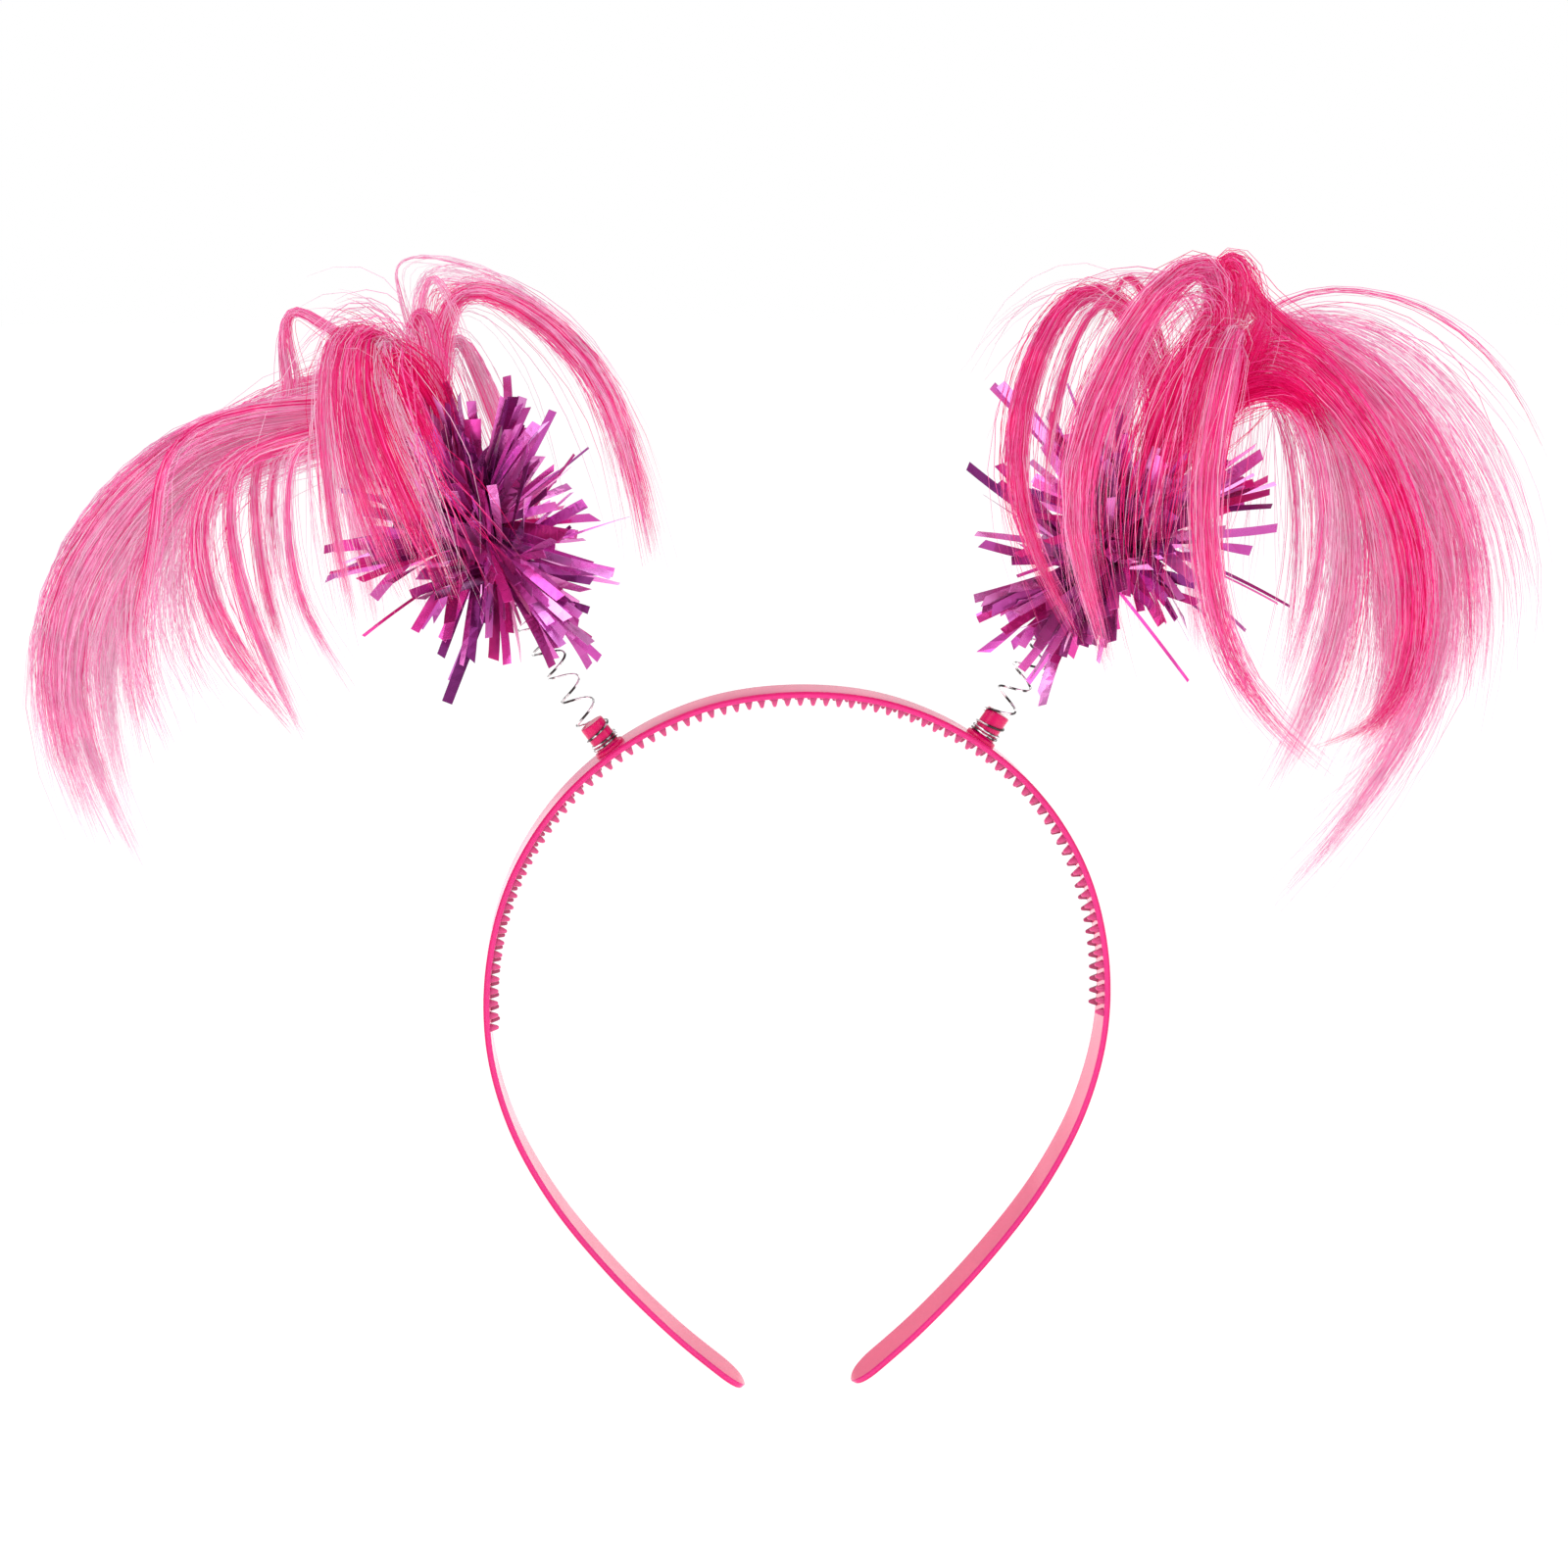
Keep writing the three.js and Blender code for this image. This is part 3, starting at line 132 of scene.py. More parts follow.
        ("arch_front", 560, 0.32, 0.30, 0.50, 0.70, [(66.1, 0, 35.6, 1.2), (76.5, -1, 51.4, 2.4), (81.1, -3, 65.0, 2.3), (82.2, -6, 77.6, 2.3), (81.8, -8, 85.5, 2.1), (77.9, -10, 88.2, 2.1), (72.8, -13, 86.6, 2.5), (67.6, -16, 83.0, 2.6), (62.5, -20, 77.4, 2.8), (59.2, -23, 72.4, 2.9), (55.5, -26, 66.7, 3.0), (52.4, -28, 61.0, 3.0), (49.9, -30, 55.0, 3.1), (48.6, -31, 47.7, 3.0), (48.4, -32, 40.4, 2.8), (50.3, -32, 32.6, 2.3), (52.6, -33, 25.3, 1.9), (55.0, -32, 17.9, 1.2)]),
        ("arch_front_light", 12, 0.36, 0.40, 0.40, 0.80, [(76.0, -3, 51.5, 1.8), (80.0, -6, 65.2, 1.7), (80.1, -10, 75.9, 1.5), (77.2, -14, 84.6, 1.3), (71.3, -18, 84.7, 1.3), (65.9, -22, 80.4, 1.5), (61.5, -26, 73.8, 1.8), (57.5, -30, 65.5, 2.0), (54.1, -33, 57.9, 2.2), (51.7, -35, 49.9, 2.2), (50.6, -36, 40.9, 2.0), (51.6, -36, 30.7, 1.7)]),
        ("veil_a", 34, 0.12, 0.60, 0.30, 0.60, [(66.1, 0, 35.6, 1.2), (76.2, -4, 52.6, 2.3), (79.1, -8, 63.4, 2.7), (79.0, -12, 70.3, 2.5), (76.6, -15, 73.1, 2.1), (72.3, -19, 70.7, 2.6), (68.1, -23, 65.4, 3.7), (64.9, -26, 59.3, 4.6), (62.2, -29, 52.9, 5.2), (60.5, -31, 43.9, 5.2), (59.6, -33, 34.9, 4.4), (60.7, -33, 24.6, 3.3)]),
        ("veil_b", 40, 0.06, 0.60, 0.30, 0.60, [(66.1, 0, 35.6, 1.2), (77.0, -4, 52.6, 2.3), (81.2, -9, 63.5, 2.9), (82.3, -13, 70.7, 2.7), (79.8, -16, 73.9, 2.6), (76.8, -19, 71.8, 3.2), (73.4, -23, 65.7, 3.9), (70.5, -26, 58.2, 4.7), (67.9, -29, 51.1, 4.8), (66.1, -31, 42.0, 4.5), (65.2, -32, 32.8, 3.7), (65.9, -32, 23.5, 2.6)]),
        ("stem_dark_a", 340, 0.00, 0.20, 0.50, 0.70, [(67.8, 8, 34.7, 1.2), (71.5, 4, 46.0, 3.4), (72.6, -5, 55.8, 4.5), (74.2, -12, 63.9, 5.0), (77.3, -14, 71.2, 3.8), (79.9, -12, 77.4, 2.3), (82.7, -8, 82.9, 1.5)]),
        ("stem_dark_b", 330, 0.03, 0.20, 0.50, 0.70, [(70.2, 8, 37.6, 1.4), (77.7, 2, 49.7, 3.2), (82.0, -8, 59.4, 4.3), (85.1, -13, 67.3, 4.8), (87.9, -12, 72.9, 3.8), (90.2, -10, 76.6, 2.5)]),
        ("core_right", 300, 0.06, 0.30, 0.40, 0.70, [(75.0, -4, 52.6, 2.3), (80.6, -12, 59.7, 2.9), (85.2, -16, 63.7, 3.2), (90.7, -17, 64.9, 3.2), (96.1, -16, 62.5, 2.7), (100.4, -14, 58.2, 2.1), (103.6, -12, 53.8, 1.4)]),
        ("crest_knot", 330, 0.16, 0.35, 0.50, 1.00, [(77.3, 2, 51.1, 1.8), (82.1, 4, 63.6, 2.0), (84.3, 5, 75.3, 1.8), (85.3, 5, 83.0, 1.8), (85.6, 4, 87.2, 1.8), (87.1, 2, 88.0, 1.8), (88.6, 0, 85.0, 1.7), (88.6, -3, 81.3, 1.7), (87.0, -6, 77.2, 1.7), (84.1, -10, 72.4, 1.5)]),
        ("crest_over", 240, 0.24, 0.35, 0.50, 0.80, [(76.8, 0, 51.3, 1.8), (82.2, 1, 63.8, 1.8), (84.8, 2, 75.4, 1.6), (86.1, 2, 82.7, 1.4), (87.7, 1, 85.7, 1.4), (89.6, -1, 83.1, 1.6), (91.2, -3, 79.0, 1.7), (96.1, -6, 74.9, 1.9), (102.6, -9, 69.3, 2.3), (108.7, -12, 62.2, 2.5), (113.7, -15, 54.0, 2.5)]),
        ("fall_front", 210, 0.34, 0.60, 0.50, 0.80, [(66.1, 0, 35.6, 1.2), (76.3, -5, 52.7, 1.9), (82.4, -9, 63.5, 2.3), (84.1, -13, 72.2, 2.3), (82.4, -16, 75.7, 2.3), (80.8, -20, 70.3, 2.6), (77.9, -25, 63.2, 2.7), (75.6, -28, 55.5, 2.5), (74.0, -31, 47.5, 2.4), (73.5, -34, 38.6, 2.2), (74.4, -35, 29.4, 2.0), (76.2, -35, 21.0, 1.9), (79.4, -34, 13.2, 1.9), (84.2, -33, 5.9, 2.1), (90.9, -32, -1.0, 1.9), (97.7, -31, -5.9, 1.3)]),
        ("fall_front_light", 8, 0.40, 0.50, 0.40, 1.00, [(76.1, -6, 52.8, 1.7), (81.8, -10, 62.6, 2.1), (83.9, -14, 72.3, 2.1), (82.7, -18, 75.4, 2.1), (81.1, -22, 68.9, 2.2), (78.1, -26, 60.9, 2.2), (76.0, -28, 52.8, 2.2), (75.1, -30, 43.7, 2.2), (75.2, -31, 34.5, 2.2), (76.7, -31, 24.1, 2.1), (80.4, -30, 14.6, 2.1), (86.9, -29, 5.1, 2.1), (94.8, -28, -1.4, 1.7)]),
        ("right_outer", 290, 0.44, 0.45, 0.50, 0.75, [(66.1, 0, 35.6, 1.2), (77.8, 1, 52.2, 2.2), (85.5, 0, 64.8, 2.5), (92.4, -1, 73.9, 2.3), (100.2, -3, 73.6, 2.5), (109.4, -5, 68.3, 2.9), (117.2, -8, 60.4, 3.1), (123.8, -10, 51.6, 2.8), (128.4, -12, 42.8, 2.6), (131.6, -13, 33.9, 2.5), (133.1, -14, 25.0, 2.4), (133.7, -14, 15.9, 2.4), (133.5, -13, 5.8, 1.9)]),
        ("right_tail", 235, 0.52, 0.60, 0.50, 0.80, [(66.1, 0, 35.6, 1.2), (78.3, 3, 52.0, 2.2), (86.3, 3, 63.7, 2.6), (94.4, 3, 71.4, 2.6), (103.0, 2, 69.9, 2.8), (112.0, 0, 63.7, 3.0), (119.8, -2, 54.9, 3.0), (125.8, -4, 45.2, 3.0), (130.0, -5, 35.4, 3.2), (132.2, -6, 24.7, 3.4), (132.5, -6, 14.7, 3.4), (130.7, -6, 4.2, 3.4), (127.2, -6, -6.0, 2.9), (121.9, -5, -16.0, 2.4), (115.6, -4, -25.2, 2.0), (108.9, -3, -34.1, 1.6), (103.7, -3, -39.5, 1.1)]),
        ("right_dark", 260, 0.25, 0.35, 0.50, 0.80, [(66.1, 0, 35.6, 1.2), (77.0, -2, 52.4, 2.2), (84.2, -5, 64.2, 2.5), (91.0, -8, 71.6, 2.5), (97.7, -11, 69.0, 2.5), (104.2, -14, 62.4, 2.5), (110.1, -17, 53.8, 2.5), (114.8, -19, 44.8, 2.5), (118.1, -20, 36.1, 2.6), (119.8, -21, 27.3, 2.5), (120.7, -21, 18.4, 2.5), (120.1, -21, 9.4, 2.3), (117.8, -20, 1.7, 1.9), (113.8, -19, -3.3, 1.4), (108.2, -18, -5.2, 0.8)]),
        ("right_pale", 280, 0.56, 0.50, 0.45, 0.80, [(77.5, 0, 52.2, 2.0), (85.0, -2, 63.0, 2.3), (92.4, -3, 69.4, 2.3), (100.0, -5, 65.3, 2.5), (106.1, -7, 57.7, 2.5), (110.7, -9, 48.9, 2.5), (114.1, -10, 39.2, 2.7), (116.7, -11, 28.5, 2.9), (118.9, -11, 17.6, 3.0), (119.9, -11, 7.7, 2.8), (118.3, -11, -0.8, 2.4), (115.3, -10, -7.8, 1.8)]),
        ("right_mid", 340, 0.52, 0.55, 0.50, 0.75, [(66.1, 0, 35.6, 1.2), (77.3, -1, 52.3, 2.2), (85.2, -3, 63.1, 2.5), (92.3, -5, 68.4, 2.5), (98.7, -7, 63.9, 2.5), (103.2, -9, 55.9, 2.7), (106.7, -10, 46.3, 2.7), (108.9, -11, 36.3, 2.9), (109.3, -12, 26.8, 3.1), (108.2, -12, 17.5, 3.1), (105.6, -12, 7.6, 3.0), (102.6, -11, -2.5, 2.7), (97.6, -10, -12.8, 2.0)]),
        ("right_inner", 140, 0.46, 0.60, 0.50, 0.90, [(76.8, -3, 52.5, 2.0), (84.1, -9, 61.4, 2.1), (90.0, -14, 64.3, 1.9), (96.4, -14, 60.1, 1.7), (100.0, -15, 52.4, 1.3), (101.9, -16, 43.9, 1.2), (102.2, -17, 35.3, 1.3), (101.2, -17, 26.6, 1.4), (99.2, -16, 16.7, 1.4), (96.2, -15, 5.5, 1.3)]),
        ("right_inner_wisp", 48, 0.50, 0.60, 0.30, 1.00, [(77.5, 0, 52.2, 1.6), (86.3, -2, 59.7, 2.0), (92.5, -4, 61.8, 2.1), (96.5, -5, 54.5, 2.1), (98.2, -6, 44.8, 2.2), (99.1, -6, 34.0, 2.4), (98.8, -6, 23.1, 2.6), (97.6, -5, 12.0, 2.8), (96.3, -5, 2.9, 2.6)]),
        ("fly_arch_a", 18, 0.52, 0.50, 0.25, 1.00, [(84.6, 4, 61.7, 1.6), (90.3, 6, 72.3, 1.4), (97.1, 8, 77.8, 1.4), (107.7, 10, 81.1, 1.4), (118.3, 10, 80.5, 1.4), (129.9, 10, 76.9, 1.5), (140.3, 9, 69.8, 1.5), (148.6, 8, 60.3, 1.4), (154.9, 6, 47.2, 1.2)]),
        ("fly_arch_b", 11, 0.56, 0.60, 0.20, 1.00, [(85.1, 6, 61.5, 1.6), (91.6, 9, 71.2, 1.6), (99.0, 11, 76.6, 1.8), (110.8, 13, 78.2, 2.4), (121.9, 14, 75.6, 3.0), (132.8, 14, 69.2, 3.4), (143.6, 14, 58.7, 3.9), (151.6, 13, 46.6, 4.1), (157.7, 12, 31.2, 3.9)]),
        ("fly_arch_c", 11, 0.56, 0.60, 0.25, 1.00, [(84.9, 5, 61.6, 1.6), (92.4, 8, 69.6, 1.8), (101.9, 10, 74.2, 2.4), (114.8, 12, 73.3, 3.0), (127.0, 13, 66.9, 3.4), (137.1, 13, 56.8, 3.7), (145.4, 12, 44.7, 3.9), (151.0, 11, 31.4, 3.9), (154.0, 10, 18.1, 3.7), (152.7, 9, 5.8, 3.1)]),
        ("outer_edge_wisp", 19, 0.55, 0.60, 0.35, 1.00, [(84.1, 2, 61.8, 1.8), (91.7, 2, 71.9, 1.8), (103.3, 1, 74.2, 2.2), (115.3, 0, 68.4, 2.6), (125.3, -2, 58.3, 3.0), (133.0, -4, 46.7, 3.2), (138.3, -5, 33.5, 3.4), (140.8, -6, 20.6, 3.4), (141.2, -6, 7.5, 3.0), (139.1, -6, -5.7, 2.2)]),
        ("wild_front", 50, 0.45, 0.90, 0.10, 0.60, [(66.1, 0, 35.6, 1.5), (74.4, -6, 54.7, 3.7), (78.9, -11, 70.3, 4.0), (77.2, -15, 79.8, 4.2), (68.5, -20, 74.4, 6.5), (62.2, -24, 63.6, 8.6), (59.1, -27, 50.9, 9.8), (57.5, -28, 36.2, 9.8), (57.8, -28, 23.0, 7.7)]),
        ("wild_sweep", 40, 0.60, 0.90, 0.10, 0.60, [(75.9, 0, 54.2, 2.2), (87.3, 0, 67.7, 3.7), (99.2, 0, 71.6, 5.1), (112.3, -4, 64.0, 6.6), (122.0, -7, 50.6, 8.0), (128.6, -8, 34.9, 9.6), (129.7, -8, 17.0, 10.4), (124.6, -8, -1.0, 9.0), (117.5, -7, -15.4, 6.0)]),
        ("wild_top", 26, 0.45, 0.90, 0.10, 0.70, [(77.3, 2, 51.1, 1.0), (81.6, 4, 65.6, 1.8), (81.5, 5, 77.2, 2.4), (73.0, 4, 84.6, 2.5), (59.6, 2, 82.0, 3.9), (49.2, -2, 71.8, 4.4), (42.9, -6, 58.7, 4.8), (39.6, -10, 43.8, 4.3)]),
        ("wild_right", 12, 0.60, 0.90, 0.10, 0.70, [(84.6, 4, 61.7, 1.2), (94.8, 6, 71.3, 2.4), (107.4, 8, 75.5, 4.0), (122.6, 8, 71.9, 5.6), (136.3, 8, 61.9, 6.6), (147.2, 6, 47.2, 7.5), (153.1, 4, 29.2, 7.1)]),
        ("wild_left", 12, 0.70, 0.90, 0.10, 0.80, [(75.7, 0, 58.1, 1.2), (69.2, 0, 75.5, 2.9), (57.2, 0, 83.2, 2.9), (45.2, -2, 79.4, 3.5), (36.2, -4, 70.1, 4.0), (30.3, -6, 58.8, 3.5)]),
        ("back_inner", 300, 0.50, 0.35, 0.50, 0.90, [(66.1, 0, 35.6, 1.2), (74.0, 3, 48.1, 1.8), (75.6, 8, 57.5, 2.0), (74.8, 14, 64.7, 2.0), (73.2, 20, 66.7, 2.0), (71.5, 25, 62.8, 2.3), (70.7, 30, 56.0, 2.7), (70.6, 34, 47.3, 2.9), (71.5, 37, 37.6, 3.0), (72.9, 38, 26.8, 2.8), (75.0, 38, 16.1, 2.1)]),
        ("back_middle", 300, 0.50, 0.35, 0.50, 0.90, [(66.1, 0, 35.6, 1.2), (78.5, 4, 51.9, 2.0), (85.9, 9, 62.3, 2.2), (90.8, 15, 70.5, 2.0), (93.7, 20, 71.4, 2.0), (94.7, 26, 65.9, 2.3), (93.4, 31, 56.8, 2.7), (92.3, 35, 45.0, 3.0), (91.1, 37, 32.1, 3.0), (90.5, 38, 19.1, 2.6), (91.1, 37, 7.3, 1.7)]),
        ("back_outer", 330, 0.44, 0.35, 0.50, 0.90, [(66.1, 0, 35.6, 1.2), (78.3, 3, 52.0, 2.0), (86.5, 7, 63.0, 2.4), (94.4, 12, 71.0, 2.4), (103.7, 17, 70.3, 2.6), (113.4, 22, 62.8, 3.1), (121.0, 26, 53.0, 3.5), (126.4, 29, 41.1, 3.6), (129.8, 31, 29.2, 3.6), (131.6, 32, 18.4, 3.2), (130.9, 31, 8.9, 2.1)]),
    ],
}
# </locks>

# Bunches of foil strips: where the longest strip of each ends (x, y, z in mm),
# the number of strips, and their spread in degrees.
# <bunches>
BUNCHES = {
    "left": [
        (-66.8, -14.0, 64.4, 6, 2), (-64.3, -18.0, 63.6, 5, 3), (-61.2, -20.0, 58.9, 4, 3), (-68.0, -22.0, 60.6, 5, 4),
        (-71.0, -24.0, 56.0, 5, 5), (-73.8, -25.0, 50.3, 5, 6), (-67.4, -25.0, 51.7, 5, 8), (-54.5, -5.0, 62.3, 5, 2),
        (-51.8, -8.0, 62.8, 6, 3), (-49.3, -5.0, 62.6, 5, 2), (-49.4, -14.0, 56.2, 4, 4), (-52.4, -12.0, 57.9, 4, 4),
        (-40.7, -6.0, 47.5, 3, 4), (-44.5, -14.0, 49.1, 3, 5), (-40.0, 3.0, 51.9, 1, 2), (-34.1, -5.0, 41.6, 1, 2),
        (-36.2, -4.0, 27.2, 3, 5), (-34.2, 0.0, 23.5, 4, 4), (-37.3, -5.0, 16.8, 4, 5), (-39.6, -6.0, 11.5, 3, 4),
        (-46.2, -8.0, 8.8, 4, 5), (-54.0, -12.0, 10.4, 5, 7), (-50.1, -14.0, 14.5, 4, 6), (-60.4, -13.0, 11.8, 4, 7),
        (-69.4, -5.0, 1.7, 2, 2), (-72.6, -11.0, 11.6, 4, 5), (-74.7, -12.0, 15.3, 3, 4), (-95.7, -10.0, 32.5, 3, 4),
        (-94.3, -6.0, 35.4, 2, 3), (-90.2, -14.0, 26.0, 4, 4), (-89.6, -10.0, 16.0, 1, 2), (-92.3, -4.0, 28.6, 3, 4),
        (-83.4, -10.0, 41.1, 5, 7), (-86.7, -14.0, 34.0, 5, 6), (-80.7, -15.0, 26.6, 4, 7), (-79.5, -8.0, 50.3, 6, 7),
        (-74.8, -4.0, 57.4, 6, 6), (-80.1, 4.0, 54.9, 5, 7), (-89.9, 2.0, 43.7, 4, 6), (-57.2, -22.0, 27.3, 4, 16),
        (-64.6, -22.0, 27.4, 4, 16), (-60.6, -22.0, 38.5, 4, 16), (-66.1, -20.0, 40.2, 4, 15), (-52.4, -20.0, 34.4, 4, 14),
        (-49.8, -18.0, 24.7, 4, 13), (-70.0, -20.0, 32.8, 4, 14), (-61.2, -16.0, 50.9, 4, 9), (-64.6, -15.0, 50.8, 4, 9),
        (-54.9, -16.0, 49.0, 3, 10), (-70.8, -12.0, 52.4, 5, 9), (-45.9, -10.0, 35.4, 2, 7), (-43.6, -4.0, 32.3, 2, 6),
        (-44.3, -12.0, 19.9, 3, 8), (-46.8, -2.0, 39.8, 2, 6), (-46.7, -15.0, 13.9, 5, 6), (-43.0, -15.0, 15.6, 4, 5),
        (-48.8, -19.0, 21.4, 4, 8), (-62.3, 27.0, 41.6, 8, 16), (-71.3, 26.0, 30.6, 8, 16), (-52.3, 25.0, 29.6, 8, 16),
        (-77.3, 20.0, 45.6, 7, 12), (-47.3, 18.0, 47.6, 7, 12), (-46.3, 16.0, 20.6, 7, 12), (-76.3, 17.0, 19.6, 7, 12),
        (-62.3, 19.0, 16.6, 7, 12), (-83.3, 12.0, 39.6, 5, 9), (-40.3, 11.0, 36.6, 5, 9), (-60.3, 20.0, 52.6, 6, 12),
    ],
    "right": [
        (34.3, -8.0, 45.4, 5, 4), (33.5, -7.0, 18.7, 4, 6), (35.3, -12.0, 25.7, 4, 7), (37.6, -9.0, 21.9, 4, 7),
        (37.6, -7.0, 10.8, 5, 6), (37.8, -11.0, 14.8, 5, 6), (44.1, -14.0, 0.8, 4, 3), (46.6, -16.0, 5.7, 4, 4),
        (42.4, -15.0, 7.1, 4, 5), (44.7, -17.0, 10.2, 5, 6), (49.2, -18.0, 10.7, 4, 6), (55.0, -16.0, 13.4, 5, 9),
        (61.3, -13.0, 8.9, 5, 8), (57.8, -16.0, 11.0, 4, 8), (81.1, -4.0, -0.3, 1, 2), (79.1, -10.0, 14.0, 4, 5),
        (86.4, -8.0, 23.2, 4, 5), (102.8, -2.0, 23.3, 1, 2), (101.9, -2.0, 25.3, 1, 2), (98.9, -4.0, 29.2, 2, 2),
        (97.9, -2.0, 41.3, 4, 3), (95.4, -7.0, 39.1, 3, 4), (94.5, 0.0, 48.6, 4, 3), (92.1, -5.0, 45.9, 4, 4),
        (92.5, -4.0, 12.5, 1, 2), (69.6, -12.0, 14.5, 3, 6), (40.6, 2.0, 65.7, 3, 2), (47.6, -5.0, 58.8, 5, 4),
        (57.0, 1.0, 66.1, 4, 3), (53.7, 4.0, 56.0, 4, 5), (40.9, -20.0, 35.9, 4, 8), (62.5, -6.0, 57.7, 5, 6),
        (68.6, -10.0, 55.1, 5, 7), (76.0, -8.0, 52.0, 5, 6), (81.1, -12.0, 47.5, 5, 6), (48.8, 2.0, 54.2, 4, 5),
        (55.5, -25.0, 26.3, 6, 14), (61.5, -24.0, 24.2, 6, 14), (53.3, -25.0, 37.7, 7, 14), (63.4, -23.0, 33.6, 6, 13),
        (50.2, -22.0, 31.7, 6, 13), (68.1, -20.0, 27.4, 5, 12), (57.7, -21.0, 44.8, 6, 11), (65.7, -20.0, 42.7, 6, 11),
        (49.5, -17.0, 21.4, 5, 9), (72.8, -16.0, 32.6, 5, 9), (45.7, -14.0, 44.1, 5, 9), (79.6, -12.0, 34.9, 4, 8),
        (82.1, -16.0, 44.0, 4, 8), (71.4, -16.0, 49.8, 5, 9), (63.7, -15.0, 51.7, 5, 9), (64.6, 27.0, 40.8, 8, 16),
        (55.6, 26.0, 29.8, 8, 16), (74.6, 25.0, 28.8, 8, 16), (49.6, 20.0, 44.8, 7, 12), (79.6, 18.0, 46.8, 7, 12),
        (80.6, 16.0, 19.8, 7, 12), (50.6, 17.0, 18.8, 7, 12), (64.6, 19.0, 15.8, 7, 12), (43.6, 12.0, 38.8, 5, 9),
        (86.6, 11.0, 35.8, 5, 9), (66.6, 20.0, 51.8, 6, 12),
    ],
}
# </bunches>

STRAND_SHARE = 0.84

# Pairs of neighbouring locks with loose strands between them: strands, tone.
WEBS = {
    "left": [
        ("front_outer", "front_left_mid", 60, 0.65), ("front_left_mid", "front_bright", 90, 0.5),
        ("front_bright", "front_right_mid", 26, 0.6), ("front_right_mid", "front_veil", 14, 0.8),
        ("sweep_top", "sweep_body", 140, 0.6), ("sweep_body", "sweep_under", 120, 0.65),
        ("sweep_under", "sweep_fan", 60, 0.75), ("sweep_fan", "sweep_fan_low", 30, 0.75),
        ("sweep_fan_low", "sweep_front_a", 24, 0.75), ("sweep_front_a", "sweep_front_b", 20, 0.6),
        ("sweep_front_c", "sweep_near", 14, 0.75), ("sweep_near", "front_outer", 14, 0.8),
        ("back_inner", "back_middle", 60, 0.6), ("back_middle", "back_outer", 100, 0.6),
        ("back_outer", "back_sweep", 100, 0.6), ("arch_inner", "arch_inner_outer", 60, 0.65),
        ("arch_inner", "back_inner", 12, 0.7), ("wisp_loop", "arch_inner_outer", 30, 0.85),
        ("stem_left_bunch", "front_right_mid", 30, 0.6),
    ],
    "right": [
        ("arch_left", "arch_left_thin", 16, 0.6), ("arch_left", "arch_front", 14, 0.7),
        ("arch_front", "veil_a", 30, 0.5), ("veil_a", "veil_b", 16, 0.3),
        ("veil_b", "fall_front", 24, 0.45), ("right_inner", "right_mid", 60, 0.65),
        ("right_mid", "right_pale", 150, 0.6), ("right_pale", "right_dark", 120, 0.5),
        ("right_dark", "right_tail", 150, 0.5), ("right_tail", "right_outer", 140, 0.55),
        ("right_outer", "outer_edge_wisp", 80, 0.55), ("outer_edge_wisp", "fly_arch_c", 36, 0.55),
        ("fly_arch_c", "fly_arch_b", 30, 0.5), ("crest_knot", "crest_over", 70, 0.4),
        ("back_inner", "back_middle", 90, 0.6), ("back_middle", "back_outer", 100, 0.6),
        ("back_outer", "right_tail", 60, 0.7), ("stem_dark_a", "stem_dark_b", 100, 0.05),
        ("core_right", "stem_dark_b", 80, 0.1), ("fall_front", "fall_front_light", 20, 0.6),
    ],
}


# -------------------------------------------------------------------- helpers

def srgb(r, g, b):
    """A colour given as 0 to 255 sRGB, as linear light."""
    c = np.array([r, g, b], float) / 255.0
    return np.where(c <= 0.04045, c / 12.92, ((c + 0.055) / 1.055) ** 2.4)


def unit(v):
    return v / np.maximum(np.linalg.norm(v, axis=-1, keepdims=True), 1e-12)


def smooth(t, a, b):
    t = np.clip((t - a) / (b - a), 0.0, 1.0)
    return t * t * (3 - 2 * t)


def catmull(points, per=24):
    """Centripetal Catmull-Rom through the points, sampled densely."""
    p = np.array(points, float)
    first = 2 * p[0] - p[1]
    last = 2 * p[-1] - p[-2]
    q = np.vstack([first, p, last])
    out = []
    xyz = q[:, :3]
    for i in range(len(p) - 1):
        a, b, c, d = q[i], q[i + 1], q[i + 2], q[i + 3]
        d0 = max(np.linalg.norm(xyz[i + 1] - xyz[i]) ** 0.5, 1e-4)
        d1 = max(np.linalg.norm(xyz[i + 2] - xyz[i + 1]) ** 0.5, 1e-4)
        d2 = max(np.linalg.norm(xyz[i + 3] - xyz[i + 2]) ** 0.5, 1e-4)
        t1 = ((b - a) / d0 - (c - a) / (d0 + d1) + (c - b) / d1) * d1
        t2 = ((c - b) / d1 - (d - b) / (d1 + d2) + (d - c) / d2) * d1
        t = np.linspace(0, 1, per, endpoint=False)[:, None]
        out.append(b + t1 * t + (-3 * b + 3 * c - 2 * t1 - t2) * t ** 2
                   + (2 * b - 2 * c + t1 + t2) * t ** 3)
    out.append(p[-1:])
    return np.vstack(out)


class Line:
    """A polyline read by arc length."""

    def __init__(self, points):
        self.p = np.array(points, float)
        step = np.linalg.norm(np.diff(self.p[:, :3], axis=0), axis=1)
        self.s = np.concatenate([[0], np.cumsum(step)])
        self.length = self.s[-1]

    def at(self, s):
        s = np.clip(s, 0, self.length)
        return np.stack([np.interp(s, self.s, self.p[:, k]) for k in range(self.p.shape[1])], -1)

    def along(self, s):
        e = self.length * 1e-3
        return unit(self.at(np.asarray(s) + e)[..., :3] - self.at(np.asarray(s) - e)[..., :3])


